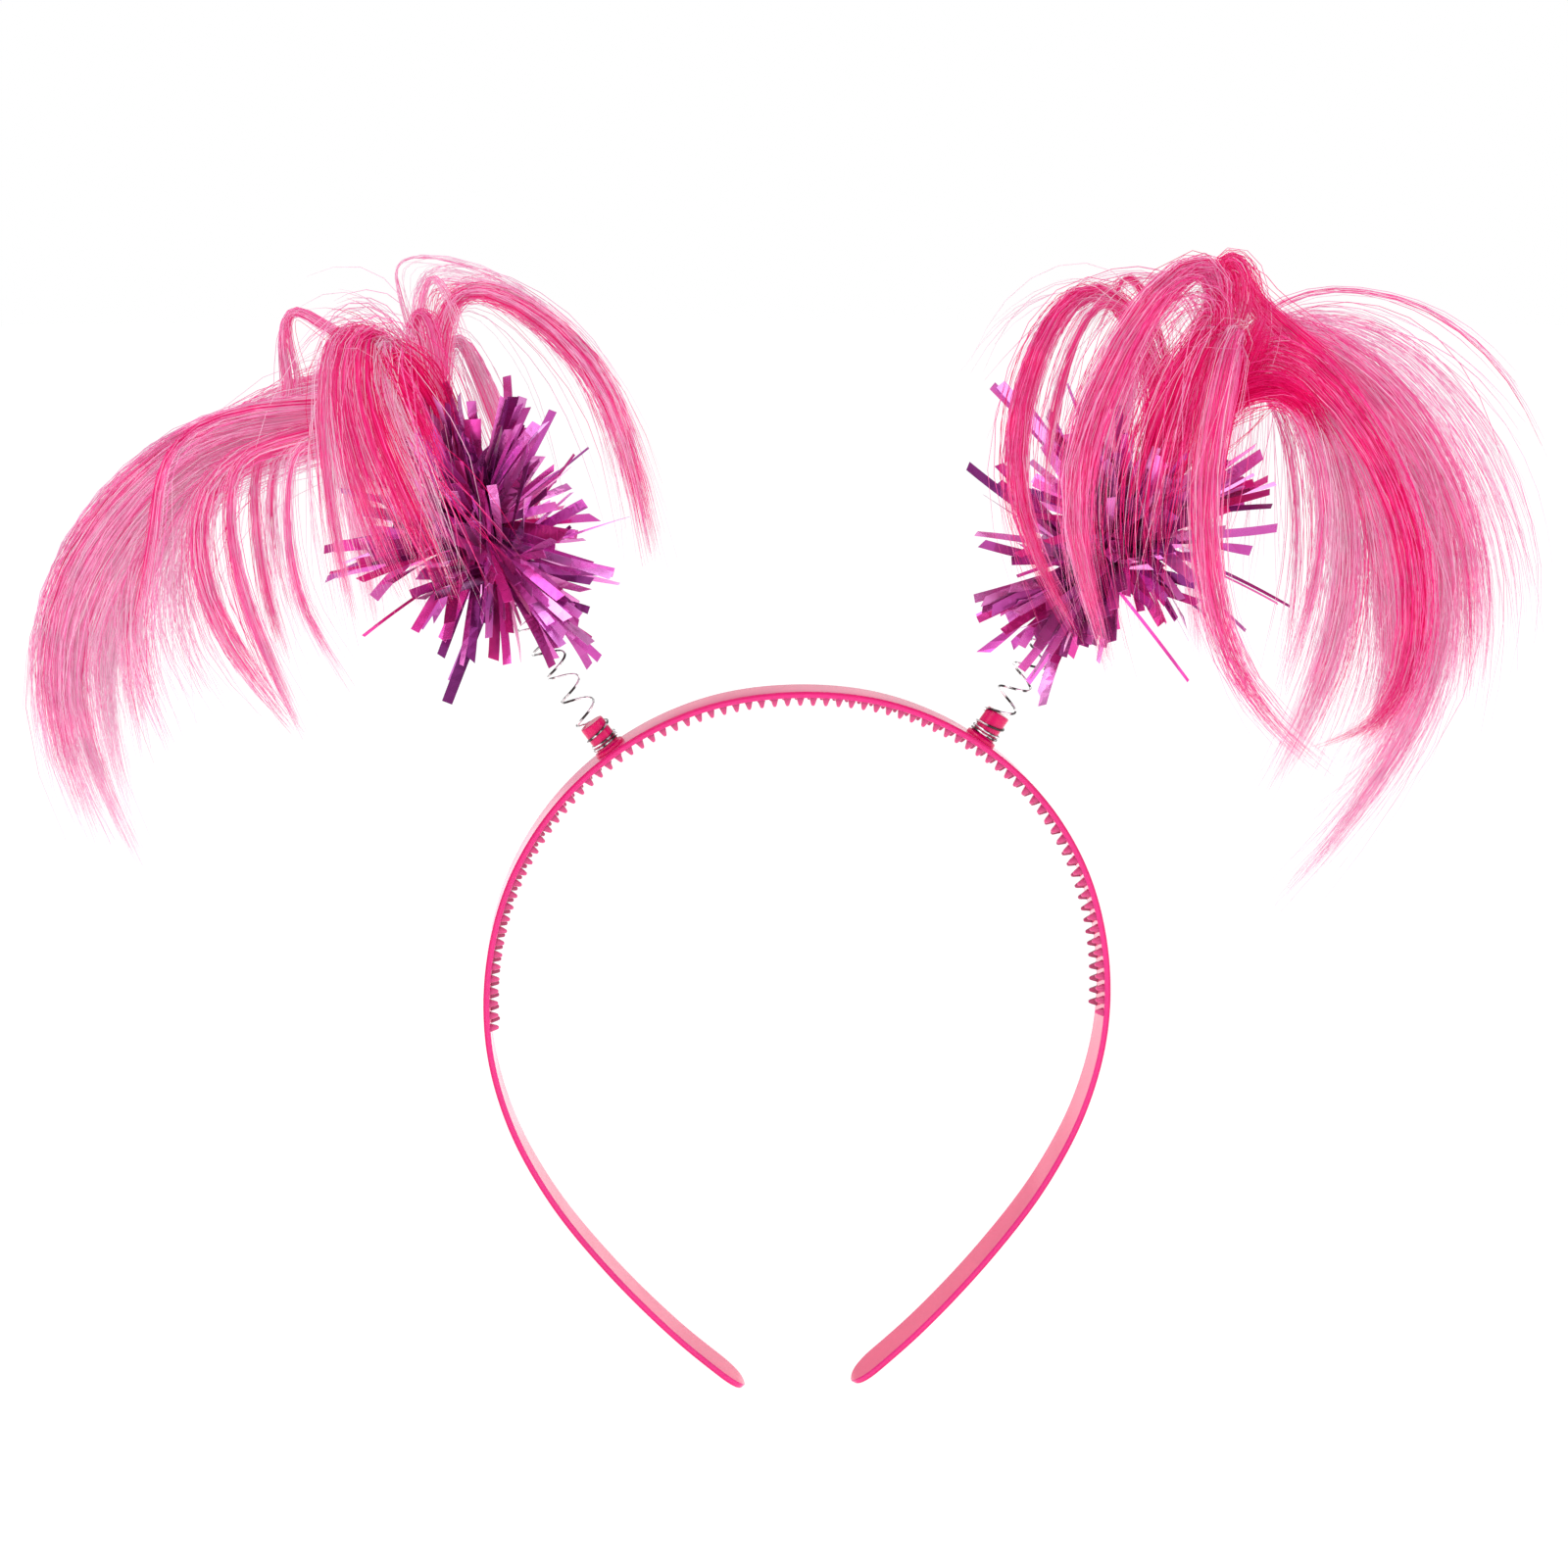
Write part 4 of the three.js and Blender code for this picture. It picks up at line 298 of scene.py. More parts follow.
def mesh_object(name, verts, faces, smooth_shade=True):
    """An object from numpy vertices in mm and equal-sided faces or lists of them."""
    mesh = bpy.data.meshes.new(name)
    groups = faces if isinstance(faces, list) else [faces]
    groups = [np.asarray(g, np.int32) for g in groups if len(g)]
    loops = np.concatenate([g.ravel() for g in groups])
    sizes = np.concatenate([np.full(len(g), g.shape[1], np.int32) for g in groups])
    starts = np.concatenate([[0], np.cumsum(sizes)[:-1]]).astype(np.int32)
    mesh.vertices.add(len(verts))
    mesh.vertices.foreach_set("co", (np.asarray(verts, np.float64) * MM).astype(np.float32).ravel())
    mesh.loops.add(len(loops))
    mesh.loops.foreach_set("vertex_index", loops)
    mesh.polygons.add(len(sizes))
    mesh.polygons.foreach_set("loop_start", starts)
    mesh.polygons.foreach_set("loop_total", sizes)
    mesh.polygons.foreach_set("use_smooth", np.full(len(sizes), smooth_shade, bool))
    mesh.update(calc_edges=True)
    mesh.validate()
    obj = bpy.data.objects.new(name, mesh)
    bpy.context.scene.collection.objects.link(obj)
    return obj


def tint(obj, rgb, name="tint"):
    """A colour for each vertex, linear."""
    rgba = np.ones((len(obj.data.vertices), 4), np.float32)
    rgba[:, :3] = rgb
    layer = obj.data.color_attributes.new(name, "FLOAT_COLOR", "POINT")
    layer.data.foreach_set("color", rgba.ravel())


def sweep(line_points, normals, sections):
    """Closed loft: sections[i] is a ring of (n, y) about line_points[i]; the ring's n runs along normals[i]."""
    rings = []
    for p, n, sec in zip(line_points, normals, sections):
        rings.append(p[None, :] + sec[:, :1] * n[None, :] + sec[:, 1:2] * np.array([[0, 1, 0]]))
    rings = np.array(rings)
    m, k = rings.shape[:2]
    i = np.arange(m - 1)[:, None] * k
    j = np.arange(k)[None, :]
    j2 = (j + 1) % k
    quads = np.stack([i + j, i + j2, i + k + j2, i + k + j], -1).reshape(-1, 4)
    caps = [np.arange(k)[None, ::-1], (np.arange(k) + (m - 1) * k)[None, :]]
    return rings.reshape(-1, 3), quads, caps


# ------------------------------------------------------------------ materials

def material(name):
    m = bpy.data.materials.new(name)
    m.use_nodes = True
    t = m.node_tree
    for n in list(t.nodes):
        t.nodes.remove(n)
    out = t.nodes.new("ShaderNodeOutputMaterial")
    shader = t.nodes.new("ShaderNodeBsdfPrincipled")
    t.links.new(shader.outputs["BSDF"], out.inputs["Surface"])
    return m, t, shader


def node(tree, kind, **values):
    n = tree.nodes.new(kind)
    for k, v in values.items():
        if k in n.inputs:
            n.inputs[k].default_value = v
        else:
            setattr(n, k, v)
    return n


def noise_value(tree, coords, scale, detail=3.0, roughness=0.5, low=0.0, high=1.0):
    n = node(tree, "ShaderNodeTexNoise", Scale=scale, Detail=detail, Roughness=roughness)
    tree.links.new(coords, n.inputs["Vector"])
    r = node(tree, "ShaderNodeMapRange")
    r.inputs["From Min"].default_value = 0.3
    r.inputs["From Max"].default_value = 0.7
    r.inputs["To Min"].default_value = low
    r.inputs["To Max"].default_value = high
    tree.links.new(n.outputs["Fac"], r.inputs["Value"])
    return r.outputs["Result"]


def scaled_colour(tree, colour, factor):
    """colour times factor, as a vector product."""
    v = node(tree, "ShaderNodeVectorMath", operation="SCALE")
    tree.links.new(colour, v.inputs[0])
    tree.links.new(factor, v.inputs["Scale"])
    return v.outputs["Vector"]


def bump(tree, shader, height, strength, distance):
    b = node(tree, "ShaderNodeBump", Strength=strength, Distance=distance)
    tree.links.new(height, b.inputs["Height"])
    tree.links.new(b.outputs["Normal"], shader.inputs["Normal"])


def plastic_material():
    m, t, s = material("moulded_pink_plastic")
    at = node(t, "ShaderNodeAttribute", attribute_name="tint")
    co = node(t, "ShaderNodeTexCoord")
    wear = noise_value(t, co.outputs["Object"], 55.0, 4.0, 0.55, 0.93, 1.06)
    t.links.new(scaled_colour(t, at.outputs["Color"], wear), s.inputs["Base Color"])
    rough = noise_value(t, co.outputs["Object"], 120.0, 3.0, 0.6, 0.14, 0.24)
    t.links.new(rough, s.inputs["Roughness"])
    s.inputs["Subsurface Weight"].default_value = 0.1
    s.inputs["Subsurface Radius"].default_value = (1.0, 0.35, 0.5)
    s.inputs["Subsurface Scale"].default_value = 0.0015
    s.inputs["IOR"].default_value = 1.49
    s.inputs["Specular IOR Level"].default_value = 0.32
    # Painted glow: an emission in the tint colour stands in for light that has travelled inside the translucent
    # plastic.
    t.links.new(at.outputs["Color"], s.inputs["Emission Color"])
    s.inputs["Emission Strength"].default_value = 0.06
    ripple = noise_value(t, co.outputs["Object"], 60.0, 1.0, 0.5, 0.0, 1.0)
    bump(t, s, ripple, 0.15, 0.0006)
    return m


def steel_material():
    m, t, s = material("spring_steel_wire")
    co = node(t, "ShaderNodeTexCoord")
    # Painted reflection: dark and bright patches in the wire's base colour stand in for its dark reflections and
    # glints.
    painted_reflection = noise_value(t, co.outputs["Object"], 420.0, 2.0, 0.5, 0.0, 1.0)
    ramp = node(t, "ShaderNodeValToRGB")
    ramp.color_ramp.elements[0].position = 0.35
    ramp.color_ramp.elements[0].color = (0.06, 0.05, 0.05, 1)
    ramp.color_ramp.elements[1].position = 0.66
    ramp.color_ramp.elements[1].color = (0.86, 0.84, 0.84, 1)
    t.links.new(painted_reflection, ramp.inputs["Fac"])
    t.links.new(ramp.outputs["Color"], s.inputs["Base Color"])
    s.inputs["Metallic"].default_value = 1.0
    rough = noise_value(t, co.outputs["Object"], 2600.0, 2.0, 0.5, 0.1, 0.2)
    t.links.new(rough, s.inputs["Roughness"])
    bump(t, s, painted_reflection, 0.1, 0.00003)
    return m


def thread_material():
    m, t, s = material("wound_tie_thread")
    co = node(t, "ShaderNodeTexCoord")
    w = node(t, "ShaderNodeTexWave", Scale=520.0, Distortion=1.5, Detail=2.0)
    w.bands_direction = "Z"
    t.links.new(co.outputs["Object"], w.inputs["Vector"])
    ramp = node(t, "ShaderNodeValToRGB")
    ramp.color_ramp.elements[0].color = (*srgb(120, 20, 90), 1)
    ramp.color_ramp.elements[1].color = (*srgb(214, 60, 130), 1)
    t.links.new(w.outputs["Fac"], ramp.inputs["Fac"])
    t.links.new(ramp.outputs["Color"], s.inputs["Base Color"])
    s.inputs["Roughness"].default_value = 0.6
    s.inputs["Sheen Weight"].default_value = 0.3
    bump(t, s, w.outputs["Fac"], 0.6, 0.0002)
    return m


def foil_material():
    m, t, s = material("purple_metallic_foil")
    at = node(t, "ShaderNodeAttribute", attribute_name="tint")
    co = node(t, "ShaderNodeTexCoord")
    streak = noise_value(t, co.outputs["Object"], 70.0, 1.0, 0.5, 0.86, 1.16)
    t.links.new(scaled_colour(t, at.outputs["Color"], streak), s.inputs["Base Color"])
    s.inputs["Metallic"].default_value = 0.8
    rough = noise_value(t, co.outputs["Object"], 200.0, 2.0, 0.5, 0.2, 0.34)
    t.links.new(rough, s.inputs["Roughness"])
    crease = noise_value(t, co.outputs["Object"], 90.0, 1.0, 0.5, 0.0, 1.0)
    bump(t, s, crease, 0.2, 0.0012)
    return m


def fibre_material():
    m, t, s = material("pink_fibre")
    at = node(t, "ShaderNodeAttribute", attribute_name="tint")
    co = node(t, "ShaderNodeTexCoord")
    dye = noise_value(t, co.outputs["Object"], 160.0, 3.0, 0.5, 0.88, 1.12)
    t.links.new(scaled_colour(t, at.outputs["Color"], dye), s.inputs["Base Color"])
    rough = noise_value(t, co.outputs["Object"], 500.0, 2.0, 0.5, 0.34, 0.52)
    t.links.new(rough, s.inputs["Roughness"])
    s.inputs["IOR"].default_value = 1.45
    s.inputs["Specular IOR Level"].default_value = 0.12
    # Painted glow: an emission in the tint colour lifts the shade between strands, standing for the fluorescent dye,
    # so the fibre gives back a little more light than falls on it.
    t.links.new(at.outputs["Color"], s.inputs["Emission Color"])
    s.inputs["Emission Strength"].default_value = 0.25
    return m


PLASTIC = plastic_material()
STEEL = steel_material()
THREAD = thread_material()
FOIL = foil_material()
FIBRE = fibre_material()


# ------------------------------------------------------------------- headband

def outline_line():
    rows = [(-d, r) for d, r in OUTLINE[:0:-1]] + OUTLINE
    pts = [(r * math.sin(math.radians(d)), 0.0, OUTLINE_CENTRE_Z + r * math.cos(math.radians(d)))
           for d, r in rows]
    return Line(catmull(pts, 90))


BAND = outline_line()


def band_frame(s):
    at = BAND.at(s)
    along = BAND.along(s)
    out = np.stack([-along[..., 2], np.zeros_like(along[..., 0]), along[..., 0]], -1)
    return at, along, out


def length_at_deg(deg):
    s = np.linspace(0, BAND.length, 6001)
    p = BAND.at(s)
    here = np.degrees(np.arctan2(p[:, 0], p[:, 2] - OUTLINE_CENTRE_Z))
    return float(np.interp(deg, here, s))


# One pink plastic in painted tones: a pale painted highlight on the top face, painted shade on the rounded top
# corners, and further painted tones for the side edges and the inner face.
C_TOP_PAINTED_HIGHLIGHT = srgb(250, 158, 178)
C_TOP_NEAR = srgb(232, 84, 138)
C_CORNER_PAINTED_SHADE = srgb(206, 6, 100)
C_EDGE = srgb(218, 36, 122)
C_INNER = srgb(224, 84, 122)
C_TOOTH_ROOT_SHADE = srgb(200, 44, 110)
C_POST = srgb(208, 0, 92)


def band_section(share):
    """Ring of (n, y) with rounded corners, and a tint for each of its points, with painted highlight and shade in the
    tints.
    """
    half = BAND_DEPTH / 2 * share
    slim = 0.38 * (1 - min(1.0, share / 0.7)) ** 1.2
    top, low = -slim, -BAND_THICKNESS + slim
    c = min(0.3, half * 0.5, (top - low) * 0.45)
    pts, col = [], []

    def put(n, y, colour):
        pts.append((n, y))
        col.append(colour)

    # Top face: a pale painted highlight towards the back edge, deeper towards the front edge.
    for q in (-0.93, -0.6, -0.2, 0.2, 0.6, 0.93):
        near = (1 - q) / 2
        put(top - 0.02 * (1 - q * q), (half - c) * q, C_TOP_PAINTED_HIGHLIGHT * (1 - near ** 2) + C_TOP_NEAR * near ** 2)
    # Rounded top corners: painted shade.
    for a in (0, 30, 60, 90):
        a = math.radians(a)
        put(top - c + c * math.cos(a), half - c + c * math.sin(a), C_CORNER_PAINTED_SHADE)
    put((top + low) / 2, half, C_EDGE)
    # Lower corners, here and on the other side: the edge colour with a little painted shade.
    for a in (90, 60, 30, 0):
        a = math.radians(a)
        put(low + c - c * math.cos(a), half - c + c * math.sin(a), C_EDGE * 0.96)
    for q in (0.93, 0.5, 0.0, -0.5, -0.93):
        put(low, (half - c) * q, C_INNER)
    for a in (0, 30, 60, 90):
        a = math.radians(a)
        put(low + c - c * math.cos(a), -half + c - c * math.sin(a), C_EDGE * 0.96)
    put((top + low) / 2, -half, C_EDGE)
    for a in (90, 60, 30, 0):
        a = math.radians(a)
        put(top - c + c * math.cos(a), -half + c - c * math.sin(a), C_CORNER_PAINTED_SHADE)
    return np.array(pts), np.array(col)


def build_band():
    stations = []
    for u in np.linspace(0.0, 1.0, 15) ** 1.8:
        stations.append(u * PADDLE_LENGTH)
    middle = np.linspace(PADDLE_LENGTH, BAND.length - PADDLE_LENGTH, 270)[1:-1]
    s = np.concatenate([stations, middle, BAND.length - np.array(stations[::-1])])
    at, along, out = band_frame(s)
    sections, colours = [], []
    for x, place in zip(s, at):
        u = min(min(x, BAND.length - x) / PADDLE_LENGTH, 1.0)
        share = max(math.sqrt(max(1 - (1 - u) ** 2.2, 0)), 0.14)
        sec, col = band_section(share)
        # The painted highlight on the top face stays on the crown only; down the sides the top face takes the deeper
        # edge colour.
        side = 0.75 * min(max((abs(place[0]) - 30.0) / 16.0, 0.0), 1.0)
        col[:6] = col[:6] * (1 - side) + C_EDGE * side
        sections.append(sec)
        colours.append(col)
    verts, quads, caps = sweep(at, out, sections)
    vs, fs, cs = [verts], [quads], [np.array(colours).reshape(-1, 3)]
    cap_faces = caps
    base = len(verts)

    # Teeth: rounded points with a small flare at the root.
    levels = [(-0.3, 1.0), (0.12, 0.98), (0.5, 0.83), (1.2, 0.58), (1.58, 0.4), (1.71, 0.26), (1.75, 0.09)]
    sides = 10
    ang = np.arange(sides) / sides * 2 * math.pi + math.pi / sides
    cx = np.sign(np.cos(ang)) * np.abs(np.cos(ang)) ** 0.72
    cy = np.sign(np.sin(ang)) * np.abs(np.sin(ang)) ** 0.72
    start, stop = length_at_deg(TOOTH_FROM_DEG), length_at_deg(TOOTH_TO_DEG)
    count = int((stop - start) // TOOTH_PITCH)
    rng = np.random.default_rng(11)
    tooth_caps = []
    for i in range(count + 1):
        for y, shift in ((-TOOTH_ROW_Y, 0.0), (TOOTH_ROW_Y, -TOOTH_STAGGER)):
            a, t, o = band_frame(start + i * TOOTH_PITCH + shift)
            tall = 1.0 + rng.uniform(-0.015, 0.015)
            rings = []
            for h, w in levels:
                ring = (a + o * (-BAND_THICKNESS - h * tall))[None, :] \
                    + cx[:, None] * t[None, :] * 0.84 * w \
                    + cy[:, None] * np.array([[0, 1, 0]]) * 1.02 * w
                ring[:, 1] += y
                rings.append(ring)
            v = np.concatenate(rings)
            m, k = len(levels), sides
            ii = np.arange(m - 1)[:, None] * k
            jj = np.arange(k)[None, :]
            q = np.stack([ii + jj, ii + (jj + 1) % k, ii + k + (jj + 1) % k, ii + k + jj], -1).reshape(-1, 4)
            vs.append(v)
            fs.append(q[:, ::-1] + base)
            tooth_caps.append(np.arange(k)[None, :] + base)
            tooth_caps.append((np.arange(k) + (m - 1) * k)[None, ::-1] + base)
            # Painted shade: each tooth is darker towards its root and paler at its tip, and the back row is painted
            # darker all over.
            shade = np.repeat(np.linspace(0.0, 1.0, m), k)[:, None]
            row = 1.0 if y < 0 else 0.62
            cs.append((C_TOOTH_ROOT_SHADE * (1 - shade) * 0.66 + srgb(230, 88, 144) * shade) * row)
            base += len(v)
    # Posts.
    profile = [
        (0.0, -0.5), (3.3, -0.5), (3.3, 0.42), (3.24, 0.6), (3.1, 0.74), (2.9, 0.8), (2.68, 0.84),
        (2.58, 0.95), (2.55, 1.15), (2.55, 6.2), (2.52, 6.38), (2.43, 6.52), (2.28, 6.58), (1.9, 6.56),
        (1.2, 6.55), (0.0, 6.55),
    ]
    k = 56
    a = np.arange(k) / k * 2 * math.pi
    for side in BOPPERS.values():
        p, t, o = band_frame(length_at_deg(side["post"]))
        rings = []
        for r, h in profile:
            r = max(r, 0.02)
            rings.append(p[None, :] + o[None, :] * h + np.cos(a)[:, None] * t[None, :] * r
                         + np.sin(a)[:, None] * np.array([[0, 1, 0]]) * r)
        v = np.concatenate(rings)
        m = len(profile)
        ii = np.arange(m - 1)[:, None] * k
        jj = np.arange(k)[None, :]
        q = np.stack([ii + jj, ii + (jj + 1) % k, ii + k + (jj + 1) % k, ii + k + jj], -1).reshape(-1, 4)
        vs.append(v)
        fs.append(q + base)
        tooth_caps.append(np.arange(k)[None, ::-1] + base)
        tooth_caps.append((np.arange(k) + (m - 1) * k)[None, :] + base)
        cs.append(np.tile(C_POST, (len(v), 1)))
        base += len(v)
    groups = [np.concatenate(fs)] + cap_faces
    by_size = {}
    for c in tooth_caps:
        by_size.setdefault(c.shape[1], []).append(c)
    groups += [np.concatenate(v) for v in by_size.values()]
    obj = mesh_object("headband_moulding", np.concatenate(vs), groups)
    colour = np.concatenate(cs)
    tint(obj, colour)
    obj.data.materials.append(PLASTIC)
    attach(obj, "headband")
    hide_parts("headband")
    return obj


build_band()


# -------------------------------------------------------------------- springs

def spring_line(side):
    at, along, out = band_frame(length_at_deg(side["post"]))
    tie = np.array([side["tie"][0], 0.0, side["tie"][1]])
    b = math.radians(side["bend"])
    lean = np.array([math.sin(b), 0.0, math.cos(b)])
    reach = np.linalg.norm(at - tie) / 3
    p0, p1, p2, p3 = at, at + out * reach, tie - lean * reach, tie
    t = np.linspace(0, 1, 400)[:, None]
    return Line((1 - t) ** 3 * p0 + 3 * (1 - t) ** 2 * t * p1 + 3 * (1 - t) * t ** 2 * p2 + t ** 3 * p3)


def coil_points(side, line, turn):
    table = np.array(COIL_TABLE)
    height = np.interp(turn, table[:, 0], table[:, 1])
    at = line.at(height)
    along = line.along(height)
    across = np.stack([along[:, 2], np.zeros(len(turn)), -along[:, 0]], -1)
    angle = math.radians(side["phase"]) + turn * 2 * math.pi
    r = COIL_DIAMETER / 2
    return at + across * r * np.cos(angle)[:, None] + np.array([0, 1, 0]) * r * np.sin(angle)[:, None]


def tube(points, radius, sides, round_ends=True):
    """Closed round tube along points, with rotation-minimising frames."""
    p = np.asarray(points, float)
    t = unit(np.gradient(p, axis=0))
    n = np.zeros_like(p)
    ref = np.array([0.0, 1.0, 0.0]) if abs(t[0][1]) < 0.9 else np.array([1.0, 0.0, 0.0])
    n[0] = unit(np.cross(t[0], ref))
    for i in range(1, len(p)):
        v = n[i - 1] - t[i] * np.dot(n[i - 1], t[i])
        n[i] = v / np.linalg.norm(v)
    b = np.cross(t, n)
    a = np.arange(sides) / sides * 2 * math.pi
    r = np.full(len(p), radius)
    if round_ends:
        p = np.vstack([p[0] - t[0] * radius * 0.75, p[0] - t[0] * radius * 0.4, p, p[-1] + t[-1] * radius * 0.4, p[-1] + t[-1] * radius * 0.75])
        n = np.vstack([n[0], n[0], n, n[-1], n[-1]])
        b = np.vstack([b[0], b[0], b, b[-1], b[-1]])
        r = np.concatenate([[radius * 0.45, radius * 0.85], r, [radius * 0.85, radius * 0.45]])
    rings = p[:, None, :] + r[:, None, None] * (np.cos(a)[None, :, None] * n[:, None, :] + np.sin(a)[None, :, None] * b[:, None, :])
    m, k = rings.shape[:2]
    i = np.arange(m - 1)[:, None] * k
    j = np.arange(k)[None, :]
    quads = np.stack([i + j, i + (j + 1) % k, i + k + (j + 1) % k, i + k + j], -1).reshape(-1, 4)
    caps = np.concatenate([np.arange(k)[None, ::-1], (np.arange(k) + (m - 1) * k)[None, :]])
    return rings.reshape(-1, 3), quads, caps


def build_spring(name):
    side = BOPPERS[name]
    line = spring_line(side)
    table = np.array(COIL_TABLE)
    split = float(np.interp(21.4, table[:, 1], table[:, 0]))
    joints = frame["joints"]
    for part, lo, hi, pair, h in (
        ("lower", 0.0, split, ("headband", "coil_" + name), (6.6, 21.4)),
        ("upper", split, 10.5, ("coil_" + name, "bopper_" + name), (21.4, 32.6)),
    ):
        turn = np.linspace(lo, hi, int((hi - lo) * 40) + 2)
        v, q, c = tube(coil_points(side, line, turn), WIRE_DIAMETER / 2, 12)
        obj = mesh_object("spring_%s_%s" % (name, part), v, [q, c])
        obj.data.materials.append(STEEL)
        a, b = line.at(h[0]) * MM, line.at(h[1]) * MM
        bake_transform(obj)
        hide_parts("spring_" + name)


for name in BOPPERS:
    build_spring(name)

for name in BOPPERS:
    tie = frame["nodes"]["tie_" + name]
    for s in tie.material_slots:
        s.material = THREAD


# ----------------------------------------------------------------------- foil

# One purple foil in painted tones: a mid purple with paler painted highlights and a darker painted shade.
FOIL_LIT_AND_SHADED_TINTS = np.array([srgb(*c) for c in (
    (208, 110, 184), (196, 88, 166), (172, 70, 152), (202, 62, 146), (214, 132, 194), (202, 106, 180), (178, 72, 152), (120, 40, 110))])


def room_to_swing(path, spine, pivot):
    """Strips that hang below the pivot stay out of the cone that the spring needs when the bopper nods."""
    low = spine[spine[:, 2] < pivot]
    away = path[:, None, :] - low[None, :, :]
    near = np.argmin((away ** 2).sum(-1), 1)
    away = away[np.arange(len(path)), near]
    dist = np.linalg.norm(away, axis=1)
    depth = np.maximum(pivot - path[:, 2], 0)
    need = (COIL_DIAMETER / 2 + 1.0 + depth * math.sin(SWING)) / math.cos(SWING)
    y = path[:, 1]
    beside = np.maximum(dist ** 2 - y ** 2, 0)
    clear = np.sqrt(np.maximum(need ** 2 - beside, 0))
    front = -1.0 if path[-1, 1] < 0 else 1.0
    moved = path.copy()
    moved[:, 1] += (np.maximum(front * y, clear) * front - y) * smooth(depth, 0.0, 1.5) * (clear > 0)
    return moved


def build_foil(name, seed):
    rng = np.random.default_rng(seed)
    side = BOPPERS[name]
    spine = spring_line(side).at(np.linspace(0, 60, 121))
    pivot = side["pivot"]
    tie = np.array([side["tie"][0], 0.0, side["tie"][1]])
    b = math.radians(side["bend"])
    lean = np.array([math.sin(b), 0.0, math.cos(b)])
    vs, quads, caps, cols, uvs = [], [], [], [], []
    base = 0
    total = sum(row[3] for row in BUNCHES[name])
    grid = int(math.ceil(math.sqrt(total)))
    index = 0
    seg = 12
    for ex, ey, ez, n, spread in BUNCHES[name]:
        end = np.array([ex, ey, ez], float)
        # The strips grow from a short core above the tie, at the height that suits their length.
        heights = np.linspace(-1.0, 7.0, 13)
        reach_at = np.linalg.norm(end - (tie + lean * heights[:, None]), axis=1)
        height = heights[np.argmin(np.abs(reach_at - 27.0))]
        core = tie + lean * height
        reach = np.linalg.norm(end - core)
        d0 = (end - core) / reach
        face = unit(np.cross(d0, VIEW_AXIS + rng.normal(0, 0.5, 3)))
        bend_dir = unit(np.cross(d0, rng.normal(0, 1, 3)))
        bunch_bend = rng.uniform(-0.08, 0.16)
        # Each bunch takes one of the painted lit and shaded foil tints.
        tone = FOIL_LIT_AND_SHADED_TINTS[rng.integers(len(FOIL_LIT_AND_SHADED_TINTS))]
        for i in range(n):
            d = unit(d0 + rng.normal(0, math.radians(spread), 3))
            length = reach * (1.0 - abs(rng.normal(0, 0.06)) - (0.0 if i == 0 else rng.uniform(0, 0.26)))
            wide = unit(face + rng.normal(0, 0.30, 3))
            wide = unit(wide - d * np.dot(wide, d))
            width = rng.choice([1.75, 1.9, 2.1, 2.25, 0.7, 3.2], p=[0.3, 0.28, 0.2, 0.13, 0.04, 0.05])
            if n == 1:
                width = 0.7
            start = core + lean * rng.uniform(-1.2, 1.2) + wide * rng.uniform(-1.3, 1.3) + np.cross(d, wide) * rng.uniform(-0.8, 0.8)
            t = np.linspace(0, 1, seg + 1)
            bend = bunch_bend + rng.normal(0, 0.07)
            if n == 1:
                bend = rng.choice([-1, 1]) * rng.uniform(0.06, 0.14)
            elif rng.random() < 0.2:
                bend += rng.choice([-1, 1]) * rng.uniform(0.15, 0.4)
            swing = unit(bend_dir + rng.normal(0, 0.3, 3))
            swing = unit(swing - d * np.dot(swing, d))
            path = start + d * (t * length * (1 - 0.35 * bend ** 2))[:, None] + swing * (length * bend * t ** 2.0)[:, None]
            path = room_to_swing(path, spine, pivot)
            along = unit(np.gradient(path, axis=0))
            twist = rng.normal(0, 0.55) * t ** 1.3 + (rng.normal(0, 0.2) if n > 1 else 0)
            if rng.random() < 0.18:
                twist = twist + rng.choice([-1, 1]) * rng.uniform(0.8, 2.6) * smooth(t, 0.3, 1.0)
            w0 = unit(wide[None, :] - along * (along @ wide)[:, None])
            n0 = np.cross(along, w0)
            w1 = w0 * np.cos(twist)[:, None] + n0 * np.sin(twist)[:, None]
            n1 = np.cross(along, w1)
            taper = np.minimum(1.0, 0.45 + t * 4.0)
            hw = (width / 2 * taper)[:, None]
            th = 0.03
            ring = np.stack([path + w1 * hw + n1 * th, path - w1 * hw + n1 * th,
                             path - w1 * hw - n1 * th, path + w1 * hw - n1 * th], 1)
            # A slanting cut at the free end.
            slant = rng.normal(0, 0.35) * width / 2
            ring[-1, 0] += along[-1] * slant
            ring[-1, 3] += along[-1] * slant
            ring[-1, 1] -= along[-1] * slant
            ring[-1, 2] -= along[-1] * slant
            v = ring.reshape(-1, 3)
            ii = np.arange(seg)[:, None] * 4
            jj = np.arange(4)[None, :]
            q = np.stack([ii + jj, ii + (jj + 1) % 4, ii + 4 + (jj + 1) % 4, ii + 4 + jj], -1).reshape(-1, 4)
            quads.append(q + base)
            caps.append(np.array([[3, 2, 1, 0]]) + base)
            caps.append(np.array([[0, 1, 2, 3]]) + base + seg * 4)
            # Painted sheen and shade: each strip takes its bunch's tint or another, brightened at random to stand for
            # how it catches the light.
            own = tone if rng.random() < 0.55 else FOIL_LIT_AND_SHADED_TINTS[rng.integers(len(FOIL_LIT_AND_SHADED_TINTS))]
            own = np.minimum(own * rng.uniform(0.9, 1.65), 0.84)
            cols.append(np.tile(own, (len(v), 1)))
